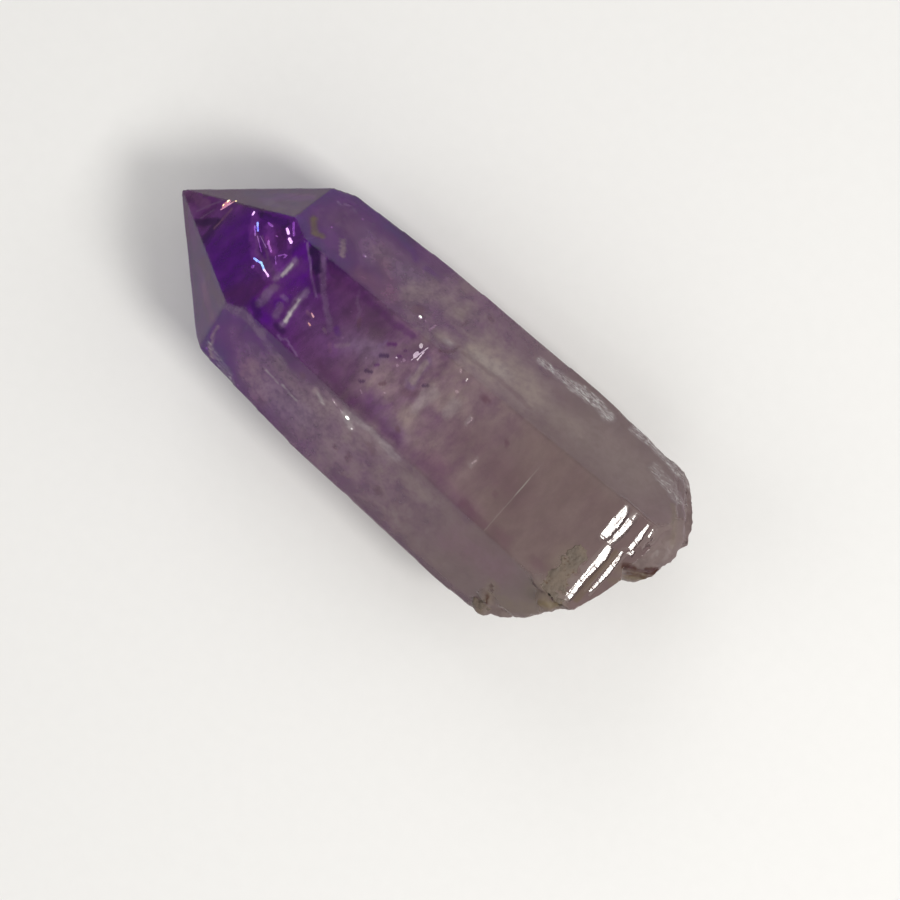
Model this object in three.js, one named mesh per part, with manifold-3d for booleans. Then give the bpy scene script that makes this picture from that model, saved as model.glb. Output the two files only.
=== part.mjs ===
// A loose amethyst point: one quartz crystal, six prism sides and a six-faced tip at one end,
// broken off roughly at the other. It lies on a prism side, long axis along X, tip toward -X.
// Millimetres, +Z up. The origin is the bottom centre of its box.
import * as THREE from 'three';
import { mergeVertices } from 'three/addons/utils/BufferGeometryUtils.js';
import Module from 'manifold-3d';

// The crystal is built with its tip at x = 0 and its long axis on the X axis.
const CRYSTAL_LENGTH = 46;
const BODY_HALF_HEIGHT = 8.07;
const BLANK_THICKNESS = 30;

// Quartz tip faces stand at 38.2 degrees to the long axis, so they widen by this much per mm.
const TIP_FLARE = Math.tan(THREE.MathUtils.degToRad(38.21));

// Each prism side faces the way 'turn' says, in degrees about the long axis from +Y.
// It stands 'reach' mm from the axis at the tip and moves out by 'flare' mm per mm of length.
const PRISM_SIDES = [
  { turn: 90, reach: BODY_HALF_HEIGHT, flare: 0 },
  { turn: 30, reach: 6.3, flare: 0.0367 },
  { turn: -90, reach: BODY_HALF_HEIGHT, flare: 0 },
  { turn: 150, reach: 6.84, flare: 0.0167 },
];

// The two lower slanting sides are slightly barrelled: three facets each, from tip to base.
const LOWER_BACK_SIDE = [
  { turn: -30, reach: 6.69, flare: 0.103 },
  { turn: -30, reach: 8.42, flare: 0.0108 },
  { turn: -30, reach: 11.66, flare: -0.0865 },
];
const LOWER_FRONT_SIDE = [
  { turn: -150, reach: 5.86, flare: 0.1233 },
  { turn: -150, reach: 7.94, flare: 0.0122 },
  { turn: -150, reach: 11.91, flare: -0.1068 },
];

// The tip faces meet at the axis, but for two that grew a little ahead or behind.
const TIP_FACES = [
  { turn: 90, reach: 0, flare: TIP_FLARE },
  { turn: 30, reach: 0, flare: TIP_FLARE },
  { turn: -30, reach: -0.14, flare: TIP_FLARE },
  { turn: -90, reach: 0, flare: TIP_FLARE },
  { turn: -150, reach: 0.27, flare: TIP_FLARE },
  { turn: 150, reach: 0, flare: TIP_FLARE },
];

// Small facets ease the two outer shoulders, where tip faces meet the widest prism edges.
const SHOULDER_FACETS = [
  { turn: -2, reach: 1.95, flare: 0.66 },
  { turn: -2, reach: 4.45, flare: 0.385 },
  { turn: -2, reach: 7.16, flare: 0.119 },
  { turn: 180, reach: 3.09, flare: 0.54 },
  { turn: 180, reach: 5.22, flare: 0.305 },
];
const TIP_BLUNTING = 0.14;

// Outline of the broken base seen from above: y, then how far the crystal reaches there (x).
const BREAK_OUTLINE = [
  [-9.2, 36.6], [-8.4, 37.7], [-7.9, 38.5], [-7.5, 39.4], [-6.7, 40.2], [-5.6, 40.8], [-4.6, 41.5],
  [-3.8, 42.2], [-1.7, 42.9], [-0.4, 43.2], [0.6, 44.5], [1.5, 45.1], [3.7, 45.4], [4.5, 45.2],
  [5.3, 45.7], [6.1, 45], [7.4, 44.2], [8.2, 43.4], [9.2, 42], [10.2, 41],
];
// The break reaches furthest along a wandering rim, and falls back above and below it.
const RIM = { height: -0.8, wander: 1.3, perMm: 0.55, start: 0.6, halfWidth: [0.3, 1.5] };
const UNDERCUT = { depth: 3, below: [1.2, 8.5] };
// On the back half the top layer has come away and leaves a ledge.
const LOST_LAYER = { depth: 1.9, above: [4.3, 5.9], backFrom: [-0.4, 0.9] };
// On the front half the top side keeps its edge.
const WHOLE_EDGE_ABOVE = [5.6, 7.4];
// The rest of the break steps down in ledges that follow slow swells.
const LEDGE_HEIGHT = 0.42;
const LEDGE_RISER = [0.4, 0.95];
const SWELLS = [
  { size: 0.8, acrossPerMm: 0.62, upPerMm: 0.5, start: 0 },
  { size: 0.6, acrossPerMm: -0.8, upPerMm: 1.3, start: 1.7 },
];
const SWELL_LEVEL = 0.9;
const BREAK_BLOCK_SIZE = 24;
const BREAK_STEPS_ACROSS = 56;
const BREAK_STEPS_UP = 50;
// Shell-shaped hollows in the break: y, z, radius, depth.
const BREAK_HOLLOWS = [
  [4.6, -3.4, 3, 0.95],
  [-3.2, 2.6, 2.7, 0.7],
  [-5.6, -3.4, 2.4, 0.7],
  [0.2, -5.4, 2.6, 0.75],
  [7.2, 2.4, 1.9, 0.5],
  [1.4, 3.2, 2.2, 0.55],
];

// Growth lines: shallow steps straight across a prism side. The side is given by its turn.
// Then come x, from and to across the side, the step's width and its depth.
const GROWTH_LINES = [
  [90, 33.5, -5.4, 2.3, 0.3, 0.05],
  [90, 40.05, 1.2, 4.9, 0.42, 0.13],
  [90, 40.92, -4.9, 4.9, 0.5, 0.15],
  [90, 41.95, -2.5, 1.9, 0.34, 0.11],
  [90, 42.25, 1.7, 4.9, 0.36, 0.12],
  [90, 42.85, 2.6, 4.9, 0.26, 0.08],
  [-90, 15.2, -6, 1.5, 0.4, 0.07],
  [-90, 27.4, -2, 6, 0.5, 0.09],
  [-90, 36.6, -6, 6, 0.45, 0.1],
  [-90, 38.1, -6, 3, 0.4, 0.09],
  [30, 35.8, 0.5, 4.2, 0.35, 0.06],
  [150, 33.1, -4.1, 1, 0.35, 0.06],
];

// Chips knocked off the edges: x, y, z, then half length, half width and half depth.
const EDGE_CHIPS = [
  [10.6, -8.75, 0.5, 1.1, 0.75, 0.7],
  [14.9, -8.95, -0.3, 0.6, 0.5, 0.6],
  [31.6, 9.3, 0.3, 3, 0.8, 0.9],
  [39.9, 9.65, 0.4, 2.3, 0.85, 1.2],
  [24.2, -9.25, -0.6, 0.8, 0.55, 0.6],
  [22.3, 5.3, 8.6, 0.8, 0.7, 0.62],
  [27.5, -5.5, 8.65, 1, 0.75, 0.68],
];

// Lumps of the old bedding left on the base: x, y, z, radius along the face, thickness.
const MATRIX_LUMPS = [
  [37.2, -7.75, 0.2, 1.1, 0.95],
  [37, -7.1, 1.7, 0.9, 0.8],
  [39.2, -3.7, 7.86, 0.95, 0.32],
  [39.9, -2.7, 7.93, 1.1, 0.26],
  [39.4, -1.7, 7.94, 0.75, 0.24],
  [40.5, -1.7, 7.93, 0.8, 0.25],
  [40.7, -3.3, 7.9, 1, 0.3],
  [40.2, -4.5, 7.3, 0.95, 0.55],
  [38.4, -7.4, 0.4, 1, 1.3],
];

const STONE_ROUGHNESS = 0.09;

// Cutting blocks are larger than the whole crystal.
const BLOCK = 120;
const AMETHYST = new THREE.MeshStandardMaterial({
  color: 0x73505f,
  roughness: 0.18,
  metalness: 0,
});

const wasm = await Module();
wasm.setup();

function solidFrom(geometry) {
  const bare = geometry.index ? geometry.toNonIndexed() : geometry.clone();
  bare.deleteAttribute('normal');
  bare.deleteAttribute('uv');
  const merged = mergeVertices(bare, 1e-5);
  return new wasm.Manifold(new wasm.Mesh({
    numProp: 3,
    vertProperties: new Float32Array(merged.attributes.position.array),
    triVerts: new Uint32Array(merged.index.array),
  }));
}

function geometryFrom(solid) {
  const mesh = solid.getMesh();
  const geometry = new THREE.BufferGeometry();
  geometry.setAttribute('position', new THREE.BufferAttribute(new Float32Array(mesh.vertProperties), 3));
  geometry.setIndex(new THREE.BufferAttribute(new Uint32Array(mesh.triVerts), 1));
  return geometry;
}

// A block that covers everything outside one flat face of the crystal.
function outsideOf(face) {
  const turn = THREE.MathUtils.degToRad(face.turn);
  const outward = new THREE.Vector3(-face.flare, Math.cos(turn), Math.sin(turn));
  const distance = face.reach / outward.length();
  outward.normalize();
  const block = new THREE.BoxGeometry(BLOCK, BLOCK, BLOCK);
  block.translate(0, 0, BLOCK / 2 + distance);
  block.applyQuaternion(new THREE.Quaternion().setFromUnitVectors(new THREE.Vector3(0, 0, 1), outward));
  return solidFrom(block);
}

function growCrystal() {
  const blank = new THREE.BoxGeometry(CRYSTAL_LENGTH, BLANK_THICKNESS, BLANK_THICKNESS);
  blank.translate(CRYSTAL_LENGTH / 2 + TIP_BLUNTING, 0, 0);
  const faces = [...PRISM_SIDES, ...LOWER_BACK_SIDE, ...LOWER_FRONT_SIDE, ...TIP_FACES, ...SHOULDER_FACETS];
  return faces.reduce((crystal, face) => crystal.subtract(outsideOf(face)), solidFrom(blank));
}

// How far the broken outline reaches at y, straight between its corners.
function outlineReach(y) {
  const last = BREAK_OUTLINE.length - 1;
  if (y <= BREAK_OUTLINE[0][0]) return BREAK_OUTLINE[0][1];
  if (y >= BREAK_OUTLINE[last][0]) return BREAK_OUTLINE[last][1];
  const next = BREAK_OUTLINE.findIndex(([corner]) => corner > y);
  const [y0, x0] = BREAK_OUTLINE[next - 1];
  const [y1, x1] = BREAK_OUTLINE[next];
  return THREE.MathUtils.mapLinear(y, y0, y1, x0, x1);
}

// From 0 below the range to 1 above it, with soft ends.
function ramp(value, [from, to]) {
  return THREE.MathUtils.smoothstep(value, from, to);
}

// Flat treads with steeper risers, as quartz breaks in ledges.
function ledges(height) {
  const tread = Math.floor(height);
  return tread + ramp(height - tread, LEDGE_RISER);
}

function breakRelief(y, z) {
  let swell = SWELL_LEVEL;
  for (const { size, acrossPerMm, upPerMm, start } of SWELLS) {
    swell += size * Math.sin(acrossPerMm * y + upPerMm * z + start);
  }
  let relief = LEDGE_HEIGHT * ledges(Math.max(swell, 0));
  for (const [centreY, centreZ, radius, depth] of BREAK_HOLLOWS) {
    const near = 1 - ((y - centreY) ** 2 + (z - centreZ) ** 2) / radius ** 2;
    if (near > 0) relief += depth * near;
  }
  return relief;
}

function breakReach(y, z) {
  const rim = RIM.height + RIM.wander * Math.sin(RIM.perMm * y + RIM.start);
  const awayFromRim = ramp(Math.abs(z - rim), RIM.halfWidth);
  const onBackHalf = ramp(y, LOST_LAYER.backFrom);
  const lostLayer = LOST_LAYER.depth * ramp(z, LOST_LAYER.above) * onBackHalf;
  const undercut = UNDERCUT.depth * ramp(-z, UNDERCUT.below);
  const wholeEdge = ramp(z, WHOLE_EDGE_ABOVE) * (1 - onBackHalf);
  return outlineReach(y) - lostLayer - undercut - breakRelief(y, z) * awayFromRim * (1 - wholeEdge);
}

// Everything past the broken base, its near side shaped like the break.
function beyondBreak() {
  const depth = BREAK_BLOCK_SIZE;
  const block = new THREE.BoxGeometry(depth, depth, depth, 1, BREAK_STEPS_ACROSS, BREAK_STEPS_UP);
  const position = block.attributes.position;
  for (let i = 0; i < position.count; i += 1) {
    const onBreak = position.getX(i) < 0;
    const x = onBreak ? breakReach(position.getY(i), position.getZ(i)) : CRYSTAL_LENGTH + depth;
    position.setX(i, x);
  }
  return solidFrom(block);
}

// A wedge that takes a shallow step out of a prism side, its long slope facing the base.
function growthLine([turn, x, from, to, width, depth]) {
  const side = PRISM_SIDES.find((candidate) => candidate.turn === turn);
  const clear = 1;
  const slopeStart = -width / 2 - clear * width / depth;
  const riser = width / 2 + depth / 2;
  const profile = new THREE.Shape([
    new THREE.Vector2(slopeStart, clear),
    new THREE.Vector2(width / 2, -depth),
    new THREE.Vector2(riser, 0),
    new THREE.Vector2(riser, clear),
  ]);
  const wedge = new THREE.ExtrudeGeometry(profile, { depth: to - from, bevelEnabled: false });
  wedge.rotateX(Math.PI / 2);
  wedge.translate(0, to, 0);
  wedge.rotateY(-Math.atan(side.flare));
  wedge.translate(x, 0, side.reach + side.flare * x);
  wedge.rotateX(THREE.MathUtils.degToRad(turn - 90));
  return solidFrom(wedge);
}

// A rough rounded stone, used to scoop a chip out or to leave a lump on. Its place makes it differ.
function roughStone(x, y, z, alongX, alongY, alongZ) {
  const stone = new THREE.IcosahedronGeometry(1, 2);
  const position = stone.attributes.position;
  const point = new THREE.Vector3();
  for (let i = 0; i < position.count; i += 1) {
    point.fromBufferAttribute(position, i);
    const sideways = Math.sin(3.1 * point.x + x) * Math.sin(4.3 * point.y + y);
    const upright = Math.sin(5.2 * point.z + z);
    point.multiplyScalar(1 + STONE_ROUGHNESS * (sideways + upright));
    position.setXYZ(i, point.x, point.y, point.z);
  }
  stone.scale(alongX, alongY, alongZ);
  stone.translate(x, y, z);
  return solidFrom(stone);
}

function makeCrystal() {
  let crystal = growCrystal();
  for (const line of GROWTH_LINES) crystal = crystal.subtract(growthLine(line));
  for (const chip of EDGE_CHIPS) crystal = crystal.subtract(roughStone(...chip));
  crystal = crystal.subtract(beyondBreak());
  for (const [x, y, z, radius, thickness] of MATRIX_LUMPS) {
    crystal = crystal.add(roughStone(x, y, z, radius, radius, thickness));
  }
  const geometry = geometryFrom(crystal);
  geometry.computeBoundingBox();
  const { min, max } = geometry.boundingBox;
  geometry.translate(-(min.x + max.x) / 2, -(min.y + max.y) / 2, -min.z);
  geometry.computeVertexNormals();
  return new THREE.Mesh(geometry, AMETHYST);
}

const amethyst = makeCrystal();
amethyst.name = 'amethyst_crystal';

const model = new THREE.Group();
model.add(amethyst);

export default model;
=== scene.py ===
"""A loose amethyst point on a pale floor: its fine surface, what is caught inside it and its crust."""
import math
import random

import bmesh
import bpy
import numpy
from mathutils import Matrix, Vector, noise
from mathutils.bvhtree import BVHTree


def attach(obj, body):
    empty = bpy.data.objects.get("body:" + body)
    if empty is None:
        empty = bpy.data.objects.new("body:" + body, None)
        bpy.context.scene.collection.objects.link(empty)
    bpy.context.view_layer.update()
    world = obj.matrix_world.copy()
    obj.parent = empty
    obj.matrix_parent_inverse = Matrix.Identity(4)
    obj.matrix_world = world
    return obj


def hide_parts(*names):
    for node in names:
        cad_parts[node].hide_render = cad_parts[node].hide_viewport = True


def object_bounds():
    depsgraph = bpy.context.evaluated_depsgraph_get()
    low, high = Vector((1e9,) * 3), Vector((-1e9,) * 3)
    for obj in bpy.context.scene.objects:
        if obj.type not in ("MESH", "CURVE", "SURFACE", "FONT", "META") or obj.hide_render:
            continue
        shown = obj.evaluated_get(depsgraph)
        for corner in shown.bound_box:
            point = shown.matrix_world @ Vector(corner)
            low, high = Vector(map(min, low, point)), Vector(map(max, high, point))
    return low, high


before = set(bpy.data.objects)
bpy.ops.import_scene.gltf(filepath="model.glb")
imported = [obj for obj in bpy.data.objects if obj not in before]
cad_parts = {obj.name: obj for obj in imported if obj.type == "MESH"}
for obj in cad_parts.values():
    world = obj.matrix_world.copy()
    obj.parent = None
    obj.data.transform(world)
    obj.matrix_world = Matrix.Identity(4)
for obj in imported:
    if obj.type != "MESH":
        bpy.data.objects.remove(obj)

bl_info = {
    "name": "Amethyst Point",
    "version": (1, 0, 0),
    "blender": (4, 5, 0),
    "location": "3D View > Sidebar > Amethyst",
    "description": "Grows an amethyst point with its inclusions, crust and stage",
    "category": "Add Mesh",
}

MM = 0.001
CRYSTAL_NODE = "amethyst_crystal"
CAD_LOW, CAD_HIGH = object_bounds()

# The crystal's long axis: where it starts at the tip, and how it lies in the frame's box.
TIP_BLUNTING = 0.14 * MM
AXIS_START = Vector((CAD_LOW.x - TIP_BLUNTING, -0.161 * MM, 8.07 * MM))

# How steeply the tip's faces open from the axis, and how far the top side stands from it (mm).
TIP_FLARE = math.tan(math.radians(38.21))
TOP_SIDE = 8.07
# How far the upper back and front sides stand from the axis at the tip, and how much that grows
# with each millimetre along.
BACK_SIDE = (6.3, 0.0367)
FRONT_SIDE = (6.84, 0.0167)
# These two sides face this far above level.
SIDE_TILT = math.radians(30)


def place(along, across, up):
    """A point given in millimetres along the axis from the tip, across it and up from it."""
    return AXIS_START + Vector((along, across, up)) * MM


def under_tip_face(along, across, depth):
    """A point a little below the big upper face of the tip."""
    return place(along, across, along * TIP_FLARE - depth)


def under_top(along, across, depth):
    """A point a little below the top prism side."""
    return place(along, across, TOP_SIDE - depth)


def under_back(along, across, depth):
    """A point a little below the upper back side."""
    up = (BACK_SIDE[0] + BACK_SIDE[1] * along - math.cos(SIDE_TILT) * across) / math.sin(SIDE_TILT)
    return place(along, across, up - depth)


def under_front(along, across, depth):
    """A point a little below the upper front side."""
    up = (FRONT_SIDE[0] + FRONT_SIDE[1] * along + math.cos(SIDE_TILT) * across) / math.sin(SIDE_TILT)
    return place(along, across, up - depth)


# Settings a user would change


class AmethystBodySettings(bpy.types.PropertyGroup):
    """The crystal's surface and its colours."""

    detail: bpy.props.IntProperty(
        name="Detail", description="Octree depth of the fine surface", default=8, min=6, max=8)
    detail_scale: bpy.props.FloatProperty(
        name="Detail scale", description="Share of the octree that the crystal fills", default=0.776)
    edge_smoothing: bpy.props.IntProperty(
        name="Edge smoothing", description="Rounds of smoothing along worn edges", default=2)
    waviness: bpy.props.FloatProperty(
        name="Waviness", description="How far the faces undulate", default=0.012 * MM, unit="LENGTH")
    striation: bpy.props.FloatProperty(
        name="Striation", description="Depth of the growth ridges across the prism sides",
        default=0.012 * MM, unit="LENGTH")
    break_roughness: bpy.props.FloatProperty(
        name="Break roughness", description="Depth of the grain on the broken base",
        default=0.16 * MM, unit="LENGTH")
    apex_colour: bpy.props.FloatVectorProperty(
        name="Apex colour", description="Wine violet of the very tip", subtype="COLOR", size=4,
        default=(0.24, 0.08, 0.27, 1.0))
    tip_colour: bpy.props.FloatVectorProperty(
        name="Tip colour", description="Deep violet of the tip faces", subtype="COLOR", size=4,
        default=(0.15, 0.008, 0.33, 1.0))
    neck_colour: bpy.props.FloatVectorProperty(
        name="Neck colour", description="Purple where the prism begins", subtype="COLOR", size=4,
        default=(0.135, 0.03, 0.19, 1.0))
    middle_colour: bpy.props.FloatVectorProperty(
        name="Middle colour", description="Mauve of the middle", subtype="COLOR", size=4,
        default=(0.287, 0.162, 0.255, 1.0))
    base_colour: bpy.props.FloatVectorProperty(
        name="Base colour", description="Smoky mauve of the lower half", subtype="COLOR", size=4,
        default=(0.275, 0.190, 0.190, 1.0))
    haze_colour: bpy.props.FloatVectorProperty(
        name="Haze colour", description="Milky wisps", subtype="COLOR", size=4,
        default=(0.47, 0.36, 0.34, 1.0))
    scuff_colour: bpy.props.FloatVectorProperty(
        name="Scuff colour", description="Bruised edges", subtype="COLOR", size=4,
        default=(0.66, 0.60, 0.62, 1.0))
    transmission: bpy.props.FloatProperty(
        name="Transmission", description="Share of light that passes into the crystal",
        default=0.52, subtype="FACTOR")
    refractive_index: bpy.props.FloatProperty(
        name="Refractive index", description="That of quartz", default=1.544)
    gloss: bpy.props.FloatProperty(
        name="Gloss", description="Strength of the mirror on the worn faces, 0.5 for fresh quartz",
        default=0.01, subtype="FACTOR")
    absorption_colour: bpy.props.FloatVectorProperty(
        name="Absorption colour", description="Colour that a long way through the crystal takes",
        subtype="COLOR", size=4, default=(0.62, 0.48, 0.62, 1.0))
    absorption_density: bpy.props.FloatProperty(
        name="Absorption density", description="Strength of the absorption per metre", default=160.0)


class AmethystInclusionSettings(bpy.types.PropertyGroup):
    """What is caught inside the crystal."""

    stroke_cell: bpy.props.FloatProperty(
        name="Stroke cell", description="Fineness of the fracture strokes",
        default=0.035 * MM, unit="LENGTH")
    loose_specks: bpy.props.IntProperty(
        name="Loose specks", description="How many small specks are scattered", default=70)
    seed: bpy.props.IntProperty(
        name="Seed", description="Seed of everything scattered", default=7)


class AmethystStageSettings(bpy.types.PropertyGroup):
    """Floor, light and camera."""

    floor_colour: bpy.props.FloatVectorProperty(
        name="Floor colour", description="Pale floor", subtype="COLOR", size=4,
        default=(0.80, 0.80, 0.80, 1.0))
    world_strength: bpy.props.FloatProperty(
        name="Room light", description="Strength of the light from all round", default=0.34)
    window_power: bpy.props.FloatProperty(
        name="Window power", description="Power of the window light", default=0.85, unit="POWER")
    corner_power: bpy.props.FloatProperty(
        name="Corner power", description="Power of each of the four soft lights", default=0.42,
        unit="POWER")
    camera_distance: bpy.props.FloatProperty(
        name="Camera distance", description="From the lens to the crystal's axis",
        default=236.8 * MM, unit="LENGTH")
    camera_height: bpy.props.FloatProperty(
        name="Camera height", description="Angle above level", default=math.radians(88.57),
        subtype="ANGLE")
    camera_side: bpy.props.FloatProperty(
        name="Camera side", description="Turn from the base end toward the back",
        default=math.radians(-2.86), subtype="ANGLE")
    camera_roll: bpy.props.FloatProperty(
        name="Camera roll", description="Tilt of the picture", default=math.radians(-48.26),
        subtype="ANGLE")
    lens: bpy.props.FloatProperty(
        name="Lens", description="Focal length in millimetres", default=128.0)


# Small helpers for meshes


def link_mesh(name, mesh):
    """Puts a mesh in the scene as an object at the origin."""
    piece = bpy.data.objects.new(name, mesh)
    bpy.context.scene.collection.objects.link(piece)
    return piece


def finish_piece(name, bm, material):
    """Writes a bmesh out as a smooth piece that rides with the crystal."""
    bmesh.ops.recalc_face_normals(bm, faces=bm.faces)
    if bm.calc_volume(signed=True) < 0.0:
        bmesh.ops.reverse_faces(bm, faces=bm.faces)
    mesh = bpy.data.meshes.new(name)
    bm.to_mesh(mesh)
    bm.free()
    return dress_piece(link_mesh(name, mesh), material)


def dress_piece(piece, material):
    """Gives a piece smooth shading, its material and its body."""
    piece.data.polygons.foreach_set("use_smooth", [True] * len(piece.data.polygons))
    piece.data.materials.clear()
    piece.data.materials.append(material)
    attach(piece, "root")
    return piece


def remeshed(bm, name, mode, size, depth=6, scale=0.9):
    """Returns a new bmesh whose surface is an even net of small faces over the old one."""
    mesh = bpy.data.meshes.new(name + "_rough")
    bm.to_mesh(mesh)
    bm.free()
    rough = link_mesh(name + "_rough", mesh)
    modifier = rough.modifiers.new("net", "REMESH")
    modifier.mode = mode
    if mode == "VOXEL":
        modifier.voxel_size = size
    else:
        modifier.octree_depth = depth
        modifier.scale = scale
    graph = bpy.context.evaluated_depsgraph_get()
    net = bpy.data.meshes.new_from_object(rough.evaluated_get(graph))
    bpy.data.objects.remove(rough)
    bpy.data.meshes.remove(mesh)
    fine = bmesh.new()
    fine.from_mesh(net)
    bpy.data.meshes.remove(net)
    return fine


def seen_from_above(spots):
    """Along and across in millimetres of many points of the crystal, and how smoke would bend them."""
    # Unseeded, noise_vector takes its offsets from the clock.
    noise.seed_set(SMOKE_SEED)
    flat = numpy.empty((len(spots), 2))
    bend = numpy.empty((len(spots), 2))
    for index, spot in enumerate(spots):
        p = (spot - AXIS_START) / MM
        drift = noise.noise_vector(p * 1.1) * 0.09 + noise.noise_vector(p * 4.0) * 0.04
        flat[index] = (p.x, p.y)
        bend[index] = (drift.x, drift.y)
    return flat, bend


def ramp(values, low, high):
    """Rises straight from 0 to 1 between two values."""
    return numpy.clip((values - low) / (high - low), 0.0, 1.0)


def brush(flat, width, points):
    """How fully a soft brush of a width (mm), drawn through the points, covers each spot."""
    nearest = numpy.full(len(flat), 1e9)
    for start, end in zip(points, points[1:]):
        start = numpy.array(start)
        run = numpy.array(end) - start
        share = numpy.clip(((flat - start) @ run) / (run @ run), 0.0, 1.0)
        gap = flat - start - share[:, None] * run
        nearest = numpy.minimum(nearest, numpy.hypot(gap[:, 0], gap[:, 1]))
    core, rim = FINE_TOUCH if width < BROAD_BRUSH else BROAD_TOUCH
    fade = ramp(nearest / width, core, rim)
    return 1.0 - fade * fade * (3.0 - 2.0 * fade)


# Small helpers for materials


class NodeBench:
    """Adds shader nodes to one tree from left to right and links what they are given."""

    def __init__(self, tree):
        self.tree = tree
        self.count = 0

    def add(self, kind, settings=None, inputs=None):
        node = self.tree.nodes.new(kind)
        node.location = (190 * (self.count % 12), -260 * (self.count // 12))
        self.count += 1
        for name, value in (settings or {}).items():
            setattr(node, name, value)
        for name, value in (inputs or {}).items():
            self.feed(node.inputs[name], value)
        return node

    def feed(self, socket, value):
        if isinstance(value, bpy.types.NodeSocket):
            self.tree.links.new(value, socket)
        else:
            socket.default_value = value

    def mix(self, factor, first, second):
        """Mixes two colours."""
        node = self.add("ShaderNodeMix", {"data_type": "RGBA"})
        self.feed(node.inputs[0], factor)
        self.feed(node.inputs[6], first)
        self.feed(node.inputs[7], second)
        return node.outputs[2]

    def math(self, operation, first, second=0.0):
        node = self.add("ShaderNodeMath", {"operation": operation})
        self.feed(node.inputs[0], first)
        self.feed(node.inputs[1], second)
        return node.outputs[0]

    def times(self, first, second):
        return self.math("MULTIPLY", first, second)

    def vector(self, operation, *values):
        """Works on the three parts of vectors or colours at once."""
        node = self.add("ShaderNodeVectorMath", {"operation": operation})
        for socket, value in zip(node.inputs, values):
            self.feed(socket, value)
        return node.outputs[0]

    def scaled(self, vector, factor):
        node = self.add("ShaderNodeVectorMath", {"operation": "SCALE"})
        self.feed(node.inputs[0], vector)
        self.feed(node.inputs["Scale"], factor)
        return node.outputs[0]

    def mask(self, name):
        """A number that the mesh keeps at each vertex."""
        return self.add("ShaderNodeAttribute", {"attribute_name": name}).outputs["Fac"]

    def here(self):
        """The place on the piece."""
        return self.add("ShaderNodeTexCoord").outputs["Object"]

    def bump(self, strength, height, distance=0.05 * MM):
        """Leans the surface by a pattern's height."""
        node = self.add("ShaderNodeBump", {}, {
            "Strength": strength, "Distance": distance, "Height": height})
        return node.outputs["Normal"]

    def spread(self, value, low, high, to_low=0.0, to_high=1.0):
        """Maps a range of values softly onto another."""
        node = self.add("ShaderNodeMapRange", {"interpolation_type": "SMOOTHSTEP"}, {
            "Value": value, "From Min": low, "From Max": high, "To Min": to_low, "To Max": to_high})
        return node.outputs[0]

    def noise(self, vector, scale, detail=3.0, roughness=0.5):
        node = self.add("ShaderNodeTexNoise", {}, {
            "Vector": vector, "Scale": scale, "Detail": detail, "Roughness": roughness})
        return node.outputs["Fac"]

    def stretched(self, vector, size):
        """Draws a pattern out by a different amount each way."""
        node = self.add("ShaderNodeMapping", {"vector_type": "TEXTURE"}, {
            "Vector": vector, "Scale": size})
        return node.outputs[0]


def new_material(name):
    """An empty material with its bench, its surface shader and its output."""
    material = bpy.data.materials.new(name)
    material.use_nodes = True
    material.node_tree.nodes.clear()
    bench = NodeBench(material.node_tree)
    output = bench.add("ShaderNodeOutputMaterial")
    surface = bench.add("ShaderNodeBsdfPrincipled")
    bench.tree.links.new(surface.outputs[0], output.inputs["Surface"])
    return material, bench, surface, output


def new_group(name, inputs, outputs):
    """An empty node group with the named sockets."""
    tree = bpy.data.node_groups.new(name, "ShaderNodeTree")
    for socket_name, kind, default in inputs:
        socket = tree.interface.new_socket(socket_name, in_out="INPUT", socket_type=kind)
        if default is not None:
            socket.default_value = default
    for socket_name, kind in outputs:
        tree.interface.new_socket(socket_name, in_out="OUTPUT", socket_type=kind)
    bench = NodeBench(tree)
    return bench, bench.add("NodeGroupInput"), bench.add("NodeGroupOutput")


def use_group(bench, name, inputs):
    """Places a node group and feeds its sockets."""
    node = bench.add("ShaderNodeGroup")
    node.node_tree = bpy.data.node_groups[name]
    for socket_name, value in inputs.items():
        bench.feed(node.inputs[socket_name], value)
    return node


def build_cloud_group():
    """Drifting wisps: a noise bent by another, cut to a soft mask."""
    bench, given, result = new_group(
        "Drifting wisps",
        [("Vector", "NodeSocketVector", None), ("Scale", "NodeSocketFloat", 300.0),
         ("From", "NodeSocketFloat", 0.5), ("To", "NodeSocketFloat", 0.7)],
        [("Mask", "NodeSocketFloat")])
    bend = bench.add("ShaderNodeTexNoise", {}, {
        "Vector": given.outputs["Vector"], "Scale": 180.0, "Detail": 2.0})
    pushed = bench.vector("MULTIPLY_ADD", bend.outputs["Color"], (4 * MM, 4 * MM, 4 * MM),
                          given.outputs["Vector"])
    wisps = bench.noise(pushed, given.outputs["Scale"], 5.0, 0.6)
    mask = bench.spread(wisps, given.outputs["From"], given.outputs["To"])
    bench.feed(result.inputs["Mask"], mask)


def build_grain_group():
    """Fine mineral grain: coarse lumps with small pits over them."""
    bench, given, result = new_group(
        "Mineral grain",
        [("Vector", "NodeSocketVector", None), ("Scale", "NodeSocketFloat", 2500.0)],
        [("Height", "NodeSocketFloat")])
    lumps = bench.noise(given.outputs["Vector"], given.outputs["Scale"], 6.0, 0.65)
    finer = bench.times(given.outputs["Scale"], 3.0)
    pits = bench.add("ShaderNodeTexVoronoi", {}, {"Vector": given.outputs["Vector"], "Scale": finer})
    height = bench.math("ADD", lumps, bench.times(pits.outputs["Distance"], 0.4))
    bench.feed(result.inputs["Height"], height)


# Crystal body

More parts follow.
